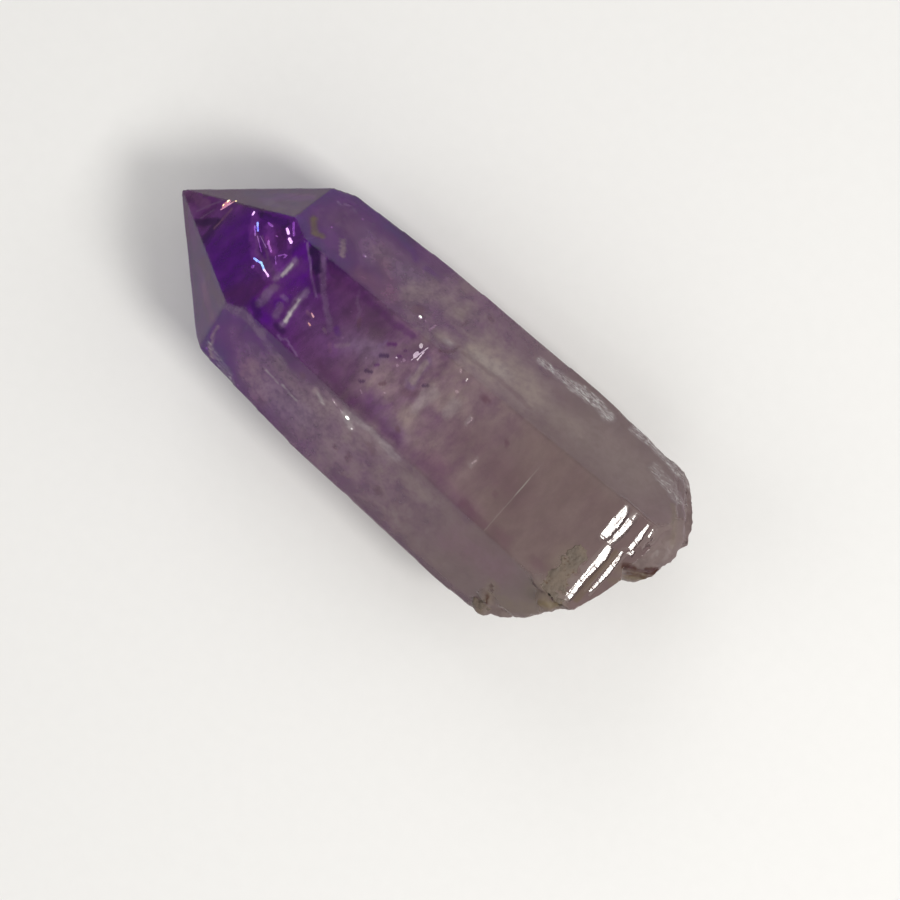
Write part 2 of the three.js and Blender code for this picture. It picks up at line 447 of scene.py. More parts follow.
# Base colours of the brush strokes.
TONES = {
    "deep": (0.11, 0.002, 0.27),
    "black": (0.03, 0.003, 0.07),
    "wine": (0.125, 0.018, 0.165),
    "violet": (0.30, 0.06, 0.48),
    "dusk": (0.27, 0.12, 0.27),
    "ash": (0.15, 0.08, 0.13),
    "heather": (0.185, 0.07, 0.22),
    "petal": (0.46, 0.33, 0.38),
    "plum": (0.13, 0.045, 0.135),
    "lichen": (0.31, 0.24, 0.175),
    "magenta": (0.42, 0.07, 0.50),
    "mauve": (0.22, 0.085, 0.28),
    "lilac": (0.34, 0.21, 0.42),
    "mist": (0.27, 0.17, 0.31),
    "rose": (0.38, 0.18, 0.28),
    "haze": (0.50, 0.40, 0.36),
    "pale": (0.85, 0.80, 0.80),
    "olive": (0.24, 0.18, 0.07),
    "smoke": (0.20, 0.10, 0.14),
    "rust": (0.08, 0.018, 0.008),
}
# Brush strokes on the upper faces: tone, width in mm, strength, then points along and across.
STROKES = [
    ("wine", 0.89, 0.9, [(1.0, -0.1), (2.9, 0.7), (3.0, -1.0)]),
    ("black", 0.52, 0.75, [(2.8, -1.1), (4.1, -0.0), (4.2, -1.7)]),
    ("black", 0.37, 0.6, [(4.1, 0.0), (4.6, -1.7)]),
    ("mist", 0.12, 0.5, [(2.2, -0.5), (3.3, 1.6)]),
    ("mist", 0.12, 0.45, [(2.8, -0.7), (3.2, 0.4)]),
    ("rose", 0.18, 0.55, [(4.2, 1.3), (4.2, -0.6)]),
    ("deep", 1.18, 0.9, [(5.1, -1.8), (5.1, 0.4), (5.9, 1.7)]),
    ("deep", 1.18, 1.0, [(6.2, -2.3), (6.4, -0.5), (6.9, 0.4)]),
    ("deep", 0.89, 0.85, [(7.7, -2.9), (7.5, -1.2), (7.8, -0.3)]),
    ("wine", 1.04, 0.75, [(8.7, -3.5), (9.5, -2.1), (10.1, -0.8)]),
    ("wine", 0.74, 0.6, [(9.7, -3.4), (10.4, -1.8)]),
    ("black", 0.52, 0.8, [(6.4, 2.4), (7.3, 2.8), (8.2, 3.1)]),
    ("black", 0.37, 0.6, [(8.0, 3.0), (8.8, 2.3)]),
    ("wine", 0.89, 0.7, [(8.2, 2.2), (9.1, 1.6)]),
    ("mauve", 0.74, 0.7, [(9.1, 0.0), (10.4, -0.2)]),
    ("magenta", 0.37, 0.9, [(7.9, 1.4), (8.4, 1.1), (9.1, 0.8)]),
    ("mauve", 0.30, 0.8, [(7.1, 1.1), (8.0, 0.2), (8.8, -0.1)]),
    ("mauve", 0.18, 0.8, [(7.5, 1.2), (8.6, 0.6), (9.3, 0.2)]),
    ("rose", 0.37, 0.5, [(6.6, 4.9), (7.9, 5.9)]),
    ("rose", 0.44, 0.4, [(6.3, -4.2), (8.6, -5.7)]),
    ("deep", 0.81, 1.0, [(10.5, 2.1), (10.8, 2.9), (11.4, 2.0)]),
    ("deep", 1.04, 0.95, [(11.4, -0.0), (11.6, 1.2), (12.5, 0.8)]),
    ("deep", 0.59, 0.8, [(11.7, -1.7), (12.3, -0.9)]),
    ("deep", 0.89, 1.0, [(10.6, -2.7), (11.1, -3.0), (11.9, -3.0)]),
    ("black", 0.74, 1.0, [(11.3, 2.9), (11.9, 2.4), (12.3, 1.9)]),
    ("black", 0.30, 0.6, [(12.5, 1.7), (13.3, 1.0)]),
    ("black", 0.67, 0.75, [(12.8, 3.0), (13.7, 2.8)]),
    ("wine", 0.74, 0.7, [(13.6, 2.0), (14.7, 2.4)]),
    ("black", 0.44, 0.7, [(12.7, -2.8), (13.4, -2.8)]),
    ("mist", 0.41, 0.5, [(12.0, 3.1), (13.7, 1.1), (15.0, 0.2), (15.8, -0.5)]),
    ("lilac", 0.16, 0.5, [(10.5, 3.0), (11.0, 2.6), (12.3, 1.4), (13.5, 0.6)]),
    ("mist", 0.22, 0.6, [(15.6, 2.9), (16.0, 2.2), (16.5, 1.9), (16.8, 1.3)]),
    ("mist", 0.50, 0.6, [(10.5, -0.3), (10.7, 1.5)]),
    ("lilac", 0.15, 0.7, [(10.6, -0.3), (10.7, 1.5)]),
    ("pale", 0.22, 0.75, [(10.7, 0.1), (10.7, 0.6), (10.7, 1.1)]),
    ("mist", 0.50, 0.6, [(13.0, -2.4), (12.8, -0.8), (12.7, 0.3)]),
    ("lilac", 0.14, 0.7, [(13.0, -2.5), (12.7, 0.3)]),
    ("pale", 0.24, 0.85, [(13.0, -2.2), (12.9, -1.5)]),
    ("pale", 0.18, 0.6, [(12.9, -1.5), (12.8, -0.4)]),
    ("mist", 0.52, 0.65, [(10.8, -2.5), (10.8, -1.7), (10.8, -0.9)]),
    ("mist", 0.44, 0.5, [(12.2, -2.3), (12.0, -1.6)]),
    ("lilac", 0.30, 0.4, [(11.7, -1.0), (12.1, -1.0)]),
    ("rose", 0.22, 0.8, [(13.8, -0.7), (14.3, -0.7)]),
    ("rose", 0.18, 0.8, [(14.3, -1.2), (14.6, -1.3)]),
    ("haze", 0.22, 0.5, [(15.5, -0.8), (15.7, -0.9)]),
    ("rose", 0.26, 0.7, [(16.5, -1.3), (16.9, -1.7)]),
    ("haze", 0.30, 0.4, [(16.9, -1.1), (17.5, -0.5)]),
    ("deep", 0.37, 0.6, [(16.1, -0.1), (16.5, -0.3)]),
    ("smoke", 0.30, 0.8, [(16.9, 1.4), (17.2, 1.0)]),
    ("mist", 1.63, 0.6, [(17.4, -0.3), (19.4, 0.5)]),
    ("lilac", 0.20, 0.5, [(19.4, 1.6), (19.2, 0.9)]),
    ("black", 0.26, 0.7, [(19.9, -1.9), (20.1, -1.7)]),
    ("black", 0.24, 0.7, [(19.7, -1.0), (20.1, -0.8)]),
    ("wine", 0.18, 0.8, [(19.9, -0.3), (20.1, -0.1)]),
    ("black", 0.28, 0.7, [(19.8, 0.5), (20.2, 0.8)]),
    ("wine", 0.26, 0.8, [(19.6, 1.5), (20.0, 1.8)]),
    ("smoke", 0.24, 0.8, [(21.1, -1.0), (21.3, -0.8)]),
    ("black", 0.22, 0.7, [(23.5, 0.9), (23.7, 1.1)]),
    ("wine", 0.18, 0.7, [(20.7, 1.3), (20.9, 1.4)]),
    ("wine", 0.16, 0.7, [(20.8, 1.9), (20.9, 2.0)]),
    ("mist", 0.67, 0.6, [(22.5, 2.3), (22.6, 1.4), (22.7, 0.4)]),
    ("haze", 0.45, 0.5, [(22.5, 2.2), (22.7, 0.7)]),
    ("dusk", 1.3, 0.22, [(21.4, 0.5), (22.7, -0.4)]),
    ("plum", 0.39, 0.4, [(22.0, 0.9), (22.2, 0.0)]),
    ("smoke", 0.45, 0.4, [(22.8, -0.3), (23.7, 0.3)]),
    ("pale", 0.8, 0.2, [(24.3, 1.1), (24.1, 0.4), (24.2, -0.6)]),
    ("haze", 1.5, 0.4, [(24.6, 0.9), (25.8, 1.2), (26.4, 1.4)]),
    ("haze", 1.3, 0.4, [(24.1, -1.2), (24.8, -2.5)]),
    ("pale", 0.8, 0.15, [(26.1, 1.4), (26.1, 0.7)]),
    ("plum", 1.04, 0.2, [(23.9, 3.1), (25.2, 3.2), (26.7, 3.2)]),
    ("mauve", 1.33, 0.55, [(21.5, -2.4), (23.3, -2.9), (24.5, -3.0)]),
    ("plum", 2.2, 0.5, [(15.5, -1.9), (18.0, -2.3), (20.5, -3.0)]),
    ("plum", 0.90, 0.75, [(17.0, -2.9), (18.8, -3.2), (20.4, -3.5)]),
    ("plum", 0.90, 0.6, [(20.4, -3.3), (22.5, -3.3), (24.5, -3.4)]),
    ("plum", 0.95, 0.4, [(24.5, -3.4), (27.0, -3.3), (29.5, -3.5), (32.1, -3.8)]),
    ("rose", 1.63, 0.2, [(27.5, -2.8), (29.8, -3.1), (32.4, -3.6)]),
    ("smoke", 0.59, 0.6, [(31.2, -3.5), (33.4, -3.7)]),
    ("pale", 0.28, 0.25, [(27.6, 0.9), (27.7, 1.5)]),
    ("pale", 0.28, 0.2, [(29.8, -1.1), (29.9, -0.5)]),
    ("smoke", 0.44, 0.8, [(27.3, 3.2), (27.6, 3.2)]),
    ("smoke", 0.30, 0.8, [(30.6, 1.9), (30.7, 1.8)]),
    ("smoke", 0.37, 0.5, [(32.4, -1.4), (32.5, -1.4)]),
    ("smoke", 0.30, 0.6, [(24.1, -2.6), (24.3, -2.7)]),
    ("smoke", 0.89, 0.5, [(34.2, -3.5), (35.2, -3.5)]),
    ("smoke", 0.67, 0.35, [(37.7, -3.1), (39.1, -3.0)]),
    ("mist", 0.59, 0.8, [(8.8, -4.4), (10.3, -3.8), (12.2, -4.1)]),
    ("mist", 0.52, 0.6, [(12.2, -4.1), (13.5, -4.4), (14.9, -4.6)]),
    ("deep", 0.44, 0.45, [(8.8, -6.4), (9.2, -7.1)]),
    ("haze", 0.27, 0.5, [(9.2, -5.8), (9.3, -6.5), (9.6, -7.5), (10.0, -7.8)]),
    ("deep", 0.67, 0.45, [(10.3, -6.8), (11.0, -7.4)]),
    ("mauve", 1.04, 0.6, [(10.5, -5.1), (11.6, -6.0)]),
    ("mist", 0.89, 0.4, [(11.9, -5.3), (13.2, -5.2)]),
    ("rose", 1.33, 0.7, [(12.9, -6.5), (14.8, -7.5)]),
    ("lilac", 1.7, 0.5, [(14.2, -6.9), (16.0, -6.9), (18.2, -6.4)]),
    ("dusk", 2.2, 0.4, [(10.3, -5.6), (13.6, -6.2)]),
    ("haze", 1.04, 0.3, [(14.2, -4.9), (17.0, -5.3), (19.4, -5.7)]),
    ("petal", 2.6, 0.4, [(13.5, -6.6), (17.0, -6.4), (21.5, -6.4)]),
    ("petal", 1.2, 0.7, [(18.4, -4.7), (20.8, -4.5), (23.2, -4.3), (25.0, -4.4)]),
    ("petal", 0.55, 0.75, [(17.8, -4.5), (18.7, -4.7), (19.5, -4.7)]),
    ("pale", 0.24, 0.5, [(18.1, -4.5), (18.8, -4.8)]),
    ("pale", 0.40, 0.35, [(20.5, -4.4), (21.6, -4.7)]),
    ("pale", 0.40, 0.25, [(20.5, -4.2), (22.8, -4.0), (25.5, -4.2)]),
    ("haze", 0.74, 0.25, [(25.4, -4.7), (29.5, -4.9)]),
    ("rose", 1.9, 0.28, [(32.4, -5.9), (34.2, -5.5), (36.4, -5.3)]),
    ("smoke", 0.30, 0.7, [(21.4, -6.6), (21.5, -6.7)]),
    ("smoke", 0.24, 0.7, [(22.5, -6.7), (22.7, -6.8)]),
    ("smoke", 0.34, 0.7, [(25.8, -7.0), (26.0, -7.2)]),
    ("smoke", 0.30, 0.6, [(16.4, -4.3), (16.6, -4.3)]),
    ("lilac", 0.12, 0.5, [(13.3, -3.3), (13.7, -3.4), (13.9, -3.1), (15.3, -3.5)]),
    ("pale", 0.10, 0.4, [(15.5, -5.8), (16.1, -5.9), (17.1, -6.0)]),
    ("pale", 0.10, 0.35, [(13.9, -5.8), (15.2, -5.9)]),
    ("smoke", 0.59, 0.5, [(23.4, -4.8), (23.9, -5.0)]),
    ("smoke", 0.44, 0.7, [(25.7, -7.0), (26.1, -7.0)]),
    ("smoke", 0.30, 0.7, [(22.5, -6.4), (22.8, -6.5)]),
    ("plum", 0.95, 0.55, [(22.5, -8.2), (25.0, -8.5), (28.0, -8.9), (31.2, -9.1)]),
    ("plum", 0.95, 0.5, [(31.2, -9.1), (34.5, -9.1), (36.0, -8.9)]),
    ("mauve", 1.18, 0.8, [(9.3, 5.2), (11.2, 5.9), (12.8, 5.9)]),
    ("dusk", 2.4, 0.45, [(10.5, 6.3), (14.5, 6.0)]),
    ("ash", 2.6, 0.28, [(9.8, 6.0), (13.4, 6.2)]),
    ("lilac", 1.2, 0.2, [(12.5, 6.6), (14.3, 5.2)]),
    ("petal", 2.0, 0.38, [(14.4, 6.2), (17.9, 6.3)]),
    ("mauve", 0.89, 0.6, [(10.7, 4.6), (12.0, 4.1)]),
    ("olive", 0.41, 0.85, [(9.4, 4.7), (10.2, 4.0), (10.8, 4.2)]),
    ("haze", 0.37, 0.55, [(12.0, 4.9), (12.8, 4.1)]),
    ("lilac", 0.15, 0.7, [(9.4, 6.9), (9.7, 6.9)]),
    ("lilac", 0.15, 0.6, [(9.9, 7.1), (10.2, 7.3)]),
    ("lilac", 0.16, 0.7, [(10.6, 7.3), (10.9, 7.2)]),
    ("lilac", 0.15, 0.5, [(12.5, 7.5), (12.6, 6.8), (13.1, 6.6)]),
    ("rose", 1.04, 0.45, [(14.5, 3.9), (16.5, 4.0), (17.5, 4.1)]),
    ("rose", 0.74, 0.3, [(15.1, 5.7), (17.0, 4.7)]),
    ("deep", 0.44, 0.4, [(13.2, 8.1), (14.6, 8.1), (16.6, 7.7)]),
    ("mist", 1.18, 0.5, [(16.3, 6.3), (17.7, 6.4)]),
    ("deep", 0.37, 0.35, [(17.5, 7.6), (18.5, 7.7)]),
    ("haze", 1.63, 0.45, [(18.2, 5.5), (19.8, 6.7), (21.8, 6.9)]),
    ("smoke", 0.67, 0.7, [(19.3, 4.6), (19.7, 4.9)]),
    ("haze", 0.9, 0.6, [(22.0, 4.5), (22.8, 4.6)]),
    ("pale", 0.37, 0.3, [(22.5, 4.5), (22.9, 4.5)]),
    ("smoke", 0.25, 0.9, [(23.4, 4.8), (23.4, 4.1), (22.7, 3.6)]),
    ("smoke", 0.19, 0.7, [(22.5, 6.6), (22.6, 6.0)]),
    ("smoke", 0.30, 0.8, [(23.6, 8.0), (23.8, 8.0)]),
    ("haze", 2.1, 0.75, [(24.6, 5.1), (26.3, 5.2), (28.3, 5.6), (29.5, 5.7)]),
    ("haze", 1.3, 0.8, [(24.4, 4.9), (26.3, 5.2)]),
    ("haze", 1.3, 0.4, [(24.7, 6.3), (26.0, 6.3), (28.5, 6.5)]),
    ("pale", 0.89, 0.16, [(25.0, 5.2), (27.3, 5.5)]),
    ("haze", 1.33, 0.45, [(29.9, 5.8), (33.7, 5.9)]),
    ("haze", 2.6, 0.32, [(34.8, 6.3), (39.6, 6.6)]),
    ("smoke", 0.30, 0.35, [(23.9, 4.6), (27.3, 4.9), (30.2, 4.9)]),
    ("violet", 0.6, 0.55, [(5.8, 2.1), (7.2, 0.7), (8.6, -0.4), (9.8, -0.7)]),
    ("violet", 0.75, 0.6, [(7.5, 1.9), (8.8, 1.0), (10.0, 0.3)]),
    ("violet", 0.35, 0.5, [(8.6, 2.9), (9.7, 2.0)]),
    ("deep", 0.5, 0.7, [(6.8, 2.4), (8.0, 3.1)]),
    ("dusk", 0.6, 0.5, [(0.7, 0.1), (1.5, 0.2), (2.5, 0.3)]),
    ("mauve", 0.55, 0.8, [(5.2, 3.4), (6.4, 4.6), (8.0, 5.8)]),
    ("wine", 0.18, 0.7, [(4.0, 2.8), (4.6, 3.5), (5.1, 4.2)]),
    ("lilac", 0.7, 0.35, [(6.0, 3.4), (6.9, 3.7), (8.1, 4.3)]),
    ("lilac", 0.5, 0.3, [(6.0, -3.9), (8.3, -4.1), (8.5, -4.6)]),
    ("wine", 0.35, 0.6, [(4.0, 2.9), (4.9, 3.4), (5.7, 4.0)]),
    ("ash", 0.45, 0.8, [(1.6, 0.9), (4.2, 2.1), (6.1, 2.9), (8.3, 4.4)]),
    ("ash", 0.3, 0.7, [(1.1, -0.7), (2.9, -2.5)]),
    ("wine", 0.26, 0.6, [(3.2, -2.6), (5.1, -4.2), (7.5, -6.5)]),
    ("ash", 0.7, 0.7, [(5.2, -3.0), (7.1, -4.0), (8.4, -4.3)]),
    ("ash", 0.2, 0.6, [(6.9, -5.1), (8.4, -6.0)]),
    ("black", 0.55, 0.9, [(11.2, 2.9), (11.9, 2.5), (12.5, 2.0)]),
    ("wine", 0.5, 0.6, [(12.9, 2.8), (14.6, 2.8), (17.7, 2.9), (20.5, 3.0)]),
    ("plum", 2.0, 0.6, [(14.3, 2.0), (16.8, 1.8), (18.6, 2.2)]),
    ("mauve", 1.5, 0.5, [(14.0, -1.0), (16.8, -1.6)]),
    ("black", 0.6, 0.55, [(10.6, -2.8), (11.3, -3.1)]),
    ("plum", 0.8, 0.3, [(10.9, -0.9), (11.1, 0.6), (11.2, 1.7)]),
    ("plum", 0.6, 0.35, [(12.2, -1.6), (12.6, -0.9)]),
    ("wine", 0.6, 0.4, [(12.2, 1.5), (12.8, 0.8)]),
    ("plum", 0.9, 0.3, [(16.2, 0.7), (17.1, -0.1)]),
    ("ash", 1.2, 0.22, [(10.6, 6.9), (12.6, 7.2)]),
    ("lichen", 0.4, 0.6, [(42.6, 6.5), (43.6, 5.5), (44.6, 4.3)]),
    ("petal", 0.14, 0.5, [(42.5, 7.7), (44.0, 6.3), (45.0, 5.0)]),
    ("lichen", 0.5, 0.5, [(42.9, -0.5), (44.6, 0.8), (45.5, 1.7)]),
    ("olive", 0.5, 0.4, [(41.7, 1.1), (41.7, -1.4), (41.8, -3.2)]),
    ("lichen", 0.9, 0.5, [(42.8, 0.5), (44.5, 1.3), (45.3, 2.0)]),
    ("olive", 0.6, 0.6, [(43.6, 0.6), (44.6, 1.3)]),
    ("rust", 0.34, 0.8, [(42.7, 0.9), (43.5, 1.3)]),
    ("rust", 0.3, 0.9, [(44.2, 1.8), (44.9, 2.4)]),
    ("smoke", 3.0, 0.3, [(28.8, 0.2), (33.5, -0.4)]),
    ("rust", 0.36, 0.7, [(42.8, 0.7), (43.8, 1.3), (44.5, 1.7)]),
    ("rust", 0.44, 1.0, [(44.6, 1.8), (45.3, 2.4)]),
    ("rust", 0.30, 0.6, [(43.4, 0.6), (44.3, 1.1), (45.2, 1.6)]),
    ("lichen", 1.7, 0.6, [(39.5, -1.4), (39.9, -2.9), (40.3, -4.3)]),
    ("lichen", 0.8, 0.5, [(37.9, -7.0), (39.7, -6.3), (40.8, -4.8)]),
    ("lichen", 1.3, 0.6, [(39.2, -4.7), (40.2, -4.6), (41.0, -4.5)]),
    ("lichen", 1.6, 0.4, [(38.5, -6.8), (39.8, -5.9)]),
    ("lichen", 0.9, 0.85, [(36.9, -6.8), (37.3, -8.6)]),
    ("olive", 0.5, 0.6, [(40.1, -5.0), (41.2, -4.3)]),
    ("rust", 0.24, 0.9, [(37.0, -7.4), (37.3, -7.8)]),
    ("rust", 0.16, 0.8, [(36.7, -6.6), (37.0, -6.9)]),
]
# Bruised places on the edges: width in mm, strength, points along and across.
SCUFFS = [
    (0.4, 0.9, [(28.3, 8.1), (29.8, 8.2)]),
    (0.55, 0.8, [(29.8, 8.25), (31.6, 8.45)]),
    (0.8, 1.0, [(31.6, 8.4), (33.6, 8.6), (34.9, 8.4)]),
    (0.5, 0.9, [(36.9, 9.0), (40.0, 9.0), (42.6, 8.5)]),
    (0.7, 0.5, [(39.9, 7.8), (42.7, 7.2)]),
    (0.5, 0.35, [(9.4, -7.3), (12.4, -8.3)]),
]
# Growth steps that catch the window light: along, across and half width in mm at each point.
BRIGHT_STEPS = [
    [(40.12, 4.25, 0.14), (40.24, 3.6, 0.33), (40.28, 2.7, 0.38), (40.32, 1.6, 0.34),
     (40.27, 1.2, 0.20)],
    [(40.96, 4.3, 0.12), (40.98, 3.6, 0.26), (40.98, 2.8, 0.30), (40.96, 2.0, 0.28), (40.88, 1.3, 0.20)],
    [(41.06, 1.30, 0.22), (41.20, 0.4, 0.33), (41.20, -0.6, 0.28), (41.22, -1.6, 0.24),
     (41.24, -2.6, 0.24), (41.27, -3.5, 0.26), (41.30, -3.8, 0.12)],
    [(41.98, 1.55, 0.08), (42.15, 0.6, 0.15), (42.20, -0.4, 0.16), (42.16, -1.3, 0.13),
     (42.12, -2.2, 0.07)],
    [(42.13, 4.2, 0.09), (42.24, 3.1, 0.19), (42.28, 1.95, 0.15)],
    [(42.58, 4.2, 0.05), (42.72, 3.5, 0.09)],
    [(42.52, 2.15, 0.15), (42.52, 1.65, 0.22)],
]
# Brushes from this width up (mm) are soft right to the middle. Where each kind starts to fade and
# has faded, as shares of its width.
BROAD_BRUSH = 0.85
BROAD_TOUCH = (0.0, 0.98)
FINE_TOUCH = (0.28, 0.78)
# How far smoke bends the strokes: this much of their width, up to a limit. Then the bruises' bend,
# and the seed of both.
STROKE_BEND = (4.0, 3.0)
SCUFF_BEND = 2.0
SMOKE_SEED = 7
# Painted shade on the steep faces: what their colour gives up, because they also mirror the pale floor.
STEEP_PAINTED_SHADE = (-0.065, -0.078, -0.05)
# No place of the quartz is darker than this.
DARKEST_QUARTZ = (0.008, 0.004, 0.010)
# What the dusky patches leave of each part of the colour.
SHADE_TINT = (0.72, 0.58, 0.80)
# Where the pale growth line crosses, in mm from the tip.
GROWTH_LINE = 33.60
# From here on strokes also stain the steep break, and up to here the tip's sides are toned (mm).
STAINED_BREAK = 41.0
TIP_SIDES_END = 11.0
# How steeply the growth steps dip.
STEP_SLOPE = math.tan(math.radians(17.5))
# Low terraces down the back corner of the base: how far past the first one, and how deep, in mm.
TERRACE_START = (42.48, 7.12)
TERRACE_OUT = (0.795, 0.607)
TERRACES = [(0.0, 0.10), (0.75, 0.16), (1.15, 0.10)]
# The hollow between the crust and the lobe beside it: along, across, radius and depth in mm.
HOLLOW = (38.7, -8.3, 1.1, 0.5)
# Depth of the small nicks along worn edges (mm).
NICK_DEPTH = 0.045
# How far along the short rise at a step's end runs (mm).
STEP_RISER = 0.07
# Places worked more finely: along from and to, across from and to, least upward tilt, rounds.
FINE_PLACES = [
    (-0.5, 8.6, -7.5, 7.5, 0.3, 1),
    (8.6, 25.0, -4.4, 4.6, 0.7, 1),
    (39.5, 43.3, -4.2, 4.8, 0.8, 2),
    (41.8, 46.0, 3.0, 9.6, 0.3, 1),
    (42.0, 46.0, -2.5, 3.0, 0.3, 1),
]
# The rough break starts here (mm from the tip).
BREAK_STARTS = 36.2
# Where the prism sides face about the axis (degrees), and how near a grown face keeps to that.
FACE_TURNS = (90, 30, -30, -90, -150, 150)
FLAT_ENOUGH = math.cos(math.radians(11))


def face_directions():
    """Outward directions of the prism sides and the tip's faces."""
    directions = []
    for turn in FACE_TURNS:
        angle = math.radians(turn)
        side = Vector((0, math.cos(angle), math.sin(angle)))
        directions.append(side)
        directions.append((side - Vector((TIP_FLARE, 0, 0))).normalized())
    return directions


def is_broken(vert, directions):
    """True where the surface is the rough break and not a grown face."""
    near_base = (vert.co.x - AXIS_START.x) / MM > BREAK_STARTS
    return near_base and max(vert.normal.dot(direction) for direction in directions) < FLAT_ENOUGH


def spread_to_neighbours(values, bm, rounds):
    """Softens one number per vertex over its neighbours."""
    for _ in range(rounds):
        values = [
            (values[v.index] + sum(values[e.other_vert(v).index] for e in v.link_edges))
            / (1 + len(v.link_edges))
            for v in bm.verts]
    return values


def worn_edges(bm):
    """How near each vertex is to an edge of the crystal, from 0 to 1."""
    sharp = math.radians(14)
    marks = [0.0] * len(bm.verts)
    for edge in bm.edges:
        if len(edge.link_faces) == 2 and edge.calc_face_angle() > sharp:
            for vert in edge.verts:
                marks[vert.index] = 1.0
    return marks


def step_depth(along, across):
    """How deep the growth steps cut the top side at a place, in millimetres."""
    deepest = 0.0
    for points in BRIGHT_STEPS:
        for (x0, y0, half0), (x1, y1, half1) in zip(points, points[1:]):
            share = (across - y0) / (y1 - y0)
            if not 0.0 <= share <= 1.0:
                continue
            half = half0 + share * (half1 - half0)
            run = along - x0 - share * (x1 - x0) + half
            cut = STEP_SLOPE * min(run, (2 * half + STEP_RISER - run) * 2 * half / STEP_RISER)
            deepest = max(deepest, cut)
    return deepest


def on_steps(p):
    """True on the part of the top side that the growth steps cross."""
    level = p.z > TOP_SIDE - 0.3
    return level and 39.3 < p.x < min(43.4, 43.2 - 0.1 * p.y) and abs(p.y - 0.3) < 4.7


def terrace_depth(point):
    """How far the terraces lower the back corner at a place, in millimetres."""
    p = (point - AXIS_START) / MM
    if p.z < 0.5 or p.y < 2.5:
        return 0.0
    out = (p.x - TERRACE_START[0]) * TERRACE_OUT[0] + (p.y - TERRACE_START[1]) * TERRACE_OUT[1]
    out += 0.12 * noise.noise(p * 0.9)
    return sum(depth * min(max((out - start) / 0.12, 0.0), 1.0) for start, depth in TERRACES)


def relief(point, normal, broken, edge, settings):
    """How far the surface is moved out (metres) at a point of the crystal."""
    p = point / MM
    axial = (point - AXIS_START) / MM
    swell = settings.waviness * noise.noise(p * 0.33)
    ridges = 0.0
    if abs(normal.x) < 0.2:
        side = round((math.degrees(math.atan2(normal.z, normal.y)) - 30) / 60)
        patches = 0.5 + 0.5 * noise.noise(p * 0.21 + Vector((9, 4, 2)))
        ridges = settings.striation * patches * noise.noise(Vector((p.x * 1.15, 3.1 * side, 0)))
    grain = noise.fractal(p * 1.1, 0.9, 2.1, 4) - 0.35
    nick = NICK_DEPTH * max(0.0, noise.noise(p * 1.9) - 0.1) * edge
    along, across, radius, depth = HOLLOW
    hollow = depth * max(0.0, 1.0 - math.hypot(axial.x - along, axial.y - across) / radius)
    cut = (nick + hollow + terrace_depth(point)) * MM
    return swell + ridges + settings.break_roughness * broken * grain - cut


def refine(bm):
    """Halves the faces of the upper side where finer work is needed."""
    for x_low, x_high, y_low, y_high, least_up, rounds in FINE_PLACES:
        for _ in range(rounds):
            bm.normal_update()
            chosen = set()
            for face in bm.faces:
                p = (face.calc_center_median() - AXIS_START) / MM
                inside = x_low < p.x < x_high and y_low < p.y < y_high
                if inside and face.normal.z > least_up and p.z > 0.4:
                    chosen.update(face.edges)
            bmesh.ops.subdivide_edges(bm, edges=list(chosen), cuts=1, use_grid_fill=True)


def crystal_surface(settings):
    """The crystal as an even, finely worked skin, with masks for its material."""
    node = bpy.data.objects[CRYSTAL_NODE]
    bm = bmesh.new()
    bm.from_mesh(node.data)
    bmesh.ops.remove_doubles(bm, verts=bm.verts, dist=1e-7)
    bm = remeshed(bm, "crystal", "SHARP", 0.0, settings.detail, settings.detail_scale)
    refine(bm)
    bm.verts.ensure_lookup_table()
    bm.verts.index_update()
    bm.normal_update()

    directions = face_directions()
    broken = [1.0 if is_broken(vert, directions) else 0.0 for vert in bm.verts]
    broken = spread_to_neighbours(broken, bm, 4)
    marks = worn_edges(bm)
    near_edges = [vert for vert in bm.verts if marks[vert.index] > 0.0]
    for _ in range(settings.edge_smoothing):
        bmesh.ops.smooth_vert(bm, verts=near_edges, factor=0.5,
                              use_axis_x=True, use_axis_y=True, use_axis_z=True)
    edge = spread_to_neighbours(marks, bm, 3)
    bm.normal_update()

    moved = []
    fresh = [0.0] * len(bm.verts)
    for vert in bm.verts:
        spot = vert.co.copy()
        p = (spot - AXIS_START) / MM
        if on_steps(p):
            ragged = 0.03 * noise.noise(p * 1.6) + 0.04 * noise.noise(Vector((p.x * 2, p.y * 6, 0)))
            cut = step_depth(p.x + ragged, p.y)
            if cut > 0.0:
                cut += 0.008 * noise.noise(Vector((p.x * 5, p.y * 1.1, 0)))
            spot.z = AXIS_START.z + (TOP_SIDE - cut) * MM
            streak = 0.5 + 2.6 * (noise.noise(Vector((p.x * 6.5, p.y * 0.9, 4))) + 0.28)
            fresh[vert.index] = min(max(streak, 0.0), 1.0) if cut > 0.0 else 0.0
            moved.append(spot)
            continue
        height = relief(spot, vert.normal, broken[vert.index], edge[vert.index], settings)
        moved.append(spot + vert.normal * height)
    for vert, spot in zip(bm.verts, moved):
        vert.co = [min(max(spot[i], CAD_LOW[i]), CAD_HIGH[i]) for i in range(3)]
    bm.normal_update()
    return bm, broken, fresh


def paint_strokes(flat, bend, facing, tip_sides):
    """Colour and cover of all brush strokes laid over each other, for each point."""
    back = (flat[:, 1] > 0.0)[:, None]
    ground = numpy.where(back, TONES["ash"] + (1.0,), TONES["heather"] + (1.0,))
    paint = ground * tip_sides[:, None]
    for tone, width, strength, points in STROKES:
        spots = flat + bend * min(STROKE_BEND[0] * width, STROKE_BEND[1])
        cover = (brush(spots, width, points) * strength * facing)[:, None]
        paint = paint * (1.0 - cover) + numpy.array(TONES[tone] + (1.0,)) * cover
    return paint


def store_masks(mesh, masks):
    """Keeps one number per vertex for each named mask."""
    for name, values in masks.items():
        layer = mesh.attributes.new(name, "FLOAT", "POINT")
        layer.data.foreach_set("value", values)


